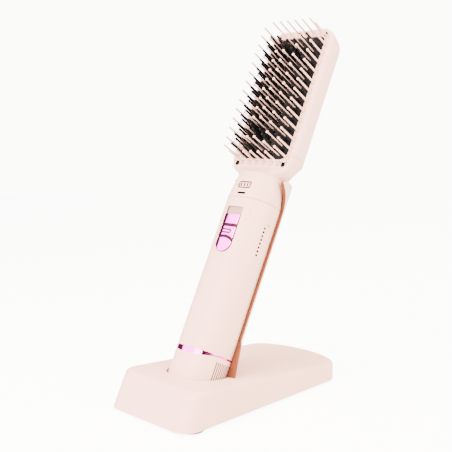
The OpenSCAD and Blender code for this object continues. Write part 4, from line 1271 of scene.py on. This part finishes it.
# %% White shell of the backrest
LIP = 0.9 * MM
shell = oval_pipe("backrest_cover", REST_OUT, REST_IN, 10 * MM, REST_TOP, 0.35 * MM)
carve(shell, front_cut(LIP))
lay_back(shell)
soften(shell, 40)
dress(shell, "white_shell")
settle(shell, "stand", "backrest_shell")
print("shell faces:", len(shell.data.polygons))

# %% Copper trough, folded edge and foot
FOOT_LOW, FOOT_HIGH, FOOT_SPREAD = 10 * MM, 37 * MM, 1.22
FOLD_OUT, FOLD_IN, FOLD_TOP = REST_OUT + 0.1 * MM, LINER_IN + 0.3 * MM, 152.6 * MM
BEHIND_EDGE = 0.03 * MM
trough = oval_pipe("cradle_trough", LINER_OUT, LINER_IN, 8 * MM, REST_TOP - 0.6 * MM, 0.2 * MM)
carve(trough, front_cut())
fold = oval_pipe("folded_edge", FOLD_OUT, FOLD_IN, FOOT_HIGH - MM, FOLD_TOP, 0.3 * MM)
carve(fold, front_cut(BEHIND_EDGE))
carve(fold, front_cut(LIP), how="INTERSECT")
foot = oval_pipe("cradle_foot", FOLD_OUT, FOLD_IN, FOOT_LOW, FOOT_HIGH, 0.1 * MM)
carve(foot, front_cut(BEHIND_EDGE))
open_edit(foot, "VERT")
pick(foot, lambda v: v.co.z < FOOT_LOW + MM and
     math.hypot(max(0, abs(v.co.x) - GRIP_FLAT / 2), v.co.y) > LINER_OUT, "verts")
bpy.ops.transform.resize(value=(FOOT_SPREAD, 1, 1), center_override=(0, 0, 0))
close_edit()

# %% Copper cup with its floor
CUP_R, CUP_LOW, CUP_FLOOR, CUP_HIGH = 19.3 * MM, -1.7 * MM, -0.3 * MM, 45 * MM
CONTACT_U, CONTACT_HOLE_R = 6 * MM, 1.75 * MM
UNDER_TOP = 2.4 * MM
cup = oval_pipe("cradle_cup", CUP_R, LINER_IN, CUP_LOW, CUP_HIGH, 0.1 * MM)
floor = oval_post("cup_floor", CUP_R - 0.1 * MM, CUP_LOW, CUP_FLOOR)
for side in (-1, 1):
    bpy.ops.mesh.primitive_cylinder_add(vertices=24, radius=CONTACT_HOLE_R, depth=8 * MM,
                                        location=(side * CONTACT_U, 0, 0))
    carve(floor, named("contact_hole"))
lay_back(cup)
open_edit(cup)
bpy.ops.mesh.select_all(action="SELECT")
bpy.ops.mesh.bisect(plane_co=TOP_FRONT - TOP_NORMAL * UNDER_TOP, plane_no=TOP_NORMAL,
                    clear_outer=True, use_fill=True)
close_edit()
for piece in (trough, fold, foot, floor):
    lay_back(piece)
cradle = join("copper_cradle", trough, fold, foot, floor, cup)
soften(cradle, 40)
dress(cradle, "copper")
settle(cradle, "stand", "cradle_liner")
print("cradle faces:", len(cradle.data.polygons))

# %% [markdown]
# ## Rubber feet
# Each foot is a soft pad. A cylinder's lower edge is bevelled round, and its underside is inset and
# pushed in a little, so that it grips like a suction pad.

# %% Rubber feet
FOOT_R, FOOT_H = 8.2 * MM, 2.2 * MM
FOOT_SPOTS = [(side * u * MM, y * MM, 0) for u, y in ((31.2, -71.8), (23, 62.5)) for side in (-1, 1)]
bpy.ops.mesh.primitive_cylinder_add(vertices=48, radius=FOOT_R, depth=FOOT_H,
                                    location=(0, 0, FOOT_H / 2))
pad = named("rubber_pad")
open_edit(pad, "EDGE")
pick(pad, lambda e: middle(e).z < 0.01 * MM and abs(e.verts[0].co.z - e.verts[1].co.z) < 0.01 * MM,
     "edges")
bpy.ops.mesh.bevel(offset=0.6 * MM, segments=4, affect="EDGES")
bpy.ops.mesh.select_mode(type="FACE")
pick(pad, lambda f: f.normal.z < -0.99)
bpy.ops.mesh.inset(thickness=1.2 * MM)
bpy.ops.mesh.inset(thickness=0.4 * MM)
bpy.ops.transform.translate(value=(0, 0, 0.5 * MM))
close_edit()
pads = copies(pad, [Vector(spot) for spot in FOOT_SPOTS])
feet = join("rubber_feet_pads", *pads)
soften(feet, 40)
dress(feet, "foot_rubber")
settle(feet, "stand", "rubber_feet")
print("feet:", len(pads), "faces:", len(feet.data.polygons))

# %% [markdown]
# ## Studio
# A product photograph on white: a big pale sweep that runs from the floor up behind the object, one
# large soft light on the camera's left, a weaker one on the right, and one from above. The world
# fills the shadows, and the sweep glows a little for the camera alone, so that the floor stays
# nearly white. Chrome shows only what it mirrors, so it gets a strip light and two black cards.

# %% The sweep
SWEEP_SIDE, SWEEP_WALL, SWEEP_BEND = 6, 3.5, 1.5
behind = Vector((-math.sin(CAMERA_YAW), math.cos(CAMERA_YAW), 0))


def at_back(edge):
    return middle(edge).dot(behind) > SWEEP_SIDE / 2 - 0.1


bpy.ops.mesh.primitive_plane_add(size=SWEEP_SIDE, rotation=(0, 0, CAMERA_YAW))
sweep = named("studio_sweep")
open_edit(sweep, "EDGE")
pick(sweep, at_back, "edges")
bpy.ops.mesh.extrude_region_move(TRANSFORM_OT_translate={"value": Vector((0, 0, SWEEP_WALL))})
pick(sweep, lambda e: at_back(e) and abs(middle(e).z) < MM, "edges")
bpy.ops.mesh.bevel(offset=SWEEP_BEND, segments=16, affect="EDGES")
close_edit()
soften(sweep, 60)
print("sweep faces:", len(sweep.data.polygons))

# %% Paper of the sweep
paper = finish("studio_paper", (0.9, 0.9, 0.9, 1), (0.88, 0.88, 0.88, 1), drift_scale=1.5,
               rough=(0.85, 0.95), grain_scale=400.0, grain_depth=0.02)
tree = paper.node_tree
glow = add(tree, "ShaderNodeEmission", Color=(0.86, 1, 1, 1), Strength=9.0)
seen = add(tree, "ShaderNodeMixShader", _0=add(tree, "ShaderNodeLightPath").outputs["Is Camera Ray"])
both = add(tree, "ShaderNodeAddShader")
tree.links.new(tree.nodes["Principled BSDF"].outputs[0], both.inputs[0])
tree.links.new(glow.outputs[0], both.inputs[1])
tree.links.new(tree.nodes["Principled BSDF"].outputs[0], seen.inputs[1])
tree.links.new(both.outputs[0], seen.inputs[2])
tree.links.new(seen.outputs[0], tree.nodes["Material Output"].inputs["Surface"])
sweep.data.materials.append(paper)
print("paper nodes:", len(tree.nodes))


# %% Lights
LAMP_COLOUR = (1, 0.62, 0.48)


def softbox(name, place, aim, size, power, colour=LAMP_COLOUR, high=None):
    """An area light that faces a point of the object. It is square if no height is given."""
    bpy.ops.object.light_add(type="AREA", location=place)
    lamp = bpy.context.object
    lamp.name = name
    lamp.rotation_euler = (Vector(aim) - Vector(place)).to_track_quat("-Z", "Y").to_euler()
    lamp.data.shape = "RECTANGLE"
    lamp.data.size = size
    lamp.data.size_y = high or size
    lamp.data.energy = power
    lamp.data.color = colour
    return lamp


AIM = (0, 0, 0.14)
softbox("key_softbox", (-0.1, -1.0, 0.8), AIM, 0.9, 60)
softbox("mirror_strip", (-0.61, -0.674, 0.53), AIM, 0.44, 6.6, (1, 0.7, 0.86), high=0.62)
softbox("fill_softbox", (1.3, 0.1, 0.8), AIM, 1.0, 45)
softbox("top_softbox", (0.1, 0.2, 1.5), AIM, 1.2, 40)
world = bpy.data.worlds.new("studio_air")
bpy.context.scene.world = world
world.use_nodes = True
air = world.node_tree.nodes["Background"].inputs
air["Color"].default_value = (*LAMP_COLOUR, 1)
air["Strength"].default_value = 3.4

# %% Black cards
CARD_FELT = finish("card_felt", (0.009, 0.019, 0.008, 1), (0.013, 0.026, 0.012, 1), rough=(0.9, 1.0),
                   grain_scale=900.0, grain_depth=0.1)
VIEWER_TURN, VIEWER_AWAY = math.radians(41), 0.87


def card(name, place, aim, wide, high):
    """A dark card beside the set. It is left out of the picture, but metal mirrors it."""
    bpy.ops.mesh.primitive_plane_add(size=1, location=place)
    sheet = bpy.context.object
    sheet.scale = (wide, high, 1)
    sheet.rotation_euler = (Vector(aim) - Vector(place)).to_track_quat("Z", "Y").to_euler()
    sheet = named(name)
    sheet.data.materials.append(CARD_FELT)
    sheet.visible_camera = False


beside = Vector((-math.cos(CAMERA_YAW), -math.sin(CAMERA_YAW), 0))
card_middle = beside * 0.62 + behind * 0.825 + Vector((0, 0, 0.75))
card("left_card", card_middle, card_middle - beside, 1.45, 1.5)
to_viewer = Vector((math.sin(VIEWER_TURN) * VIEWER_AWAY, -math.cos(VIEWER_TURN) * VIEWER_AWAY, 0.5))
card_aim = Vector((0, 0, 0.1))
card("viewer_card", to_viewer * 1.05 + card_aim, card_aim, 0.88, 0.72)
print("cards face:", tuple(round(v, 2) for v in card_middle), tuple(card_aim))
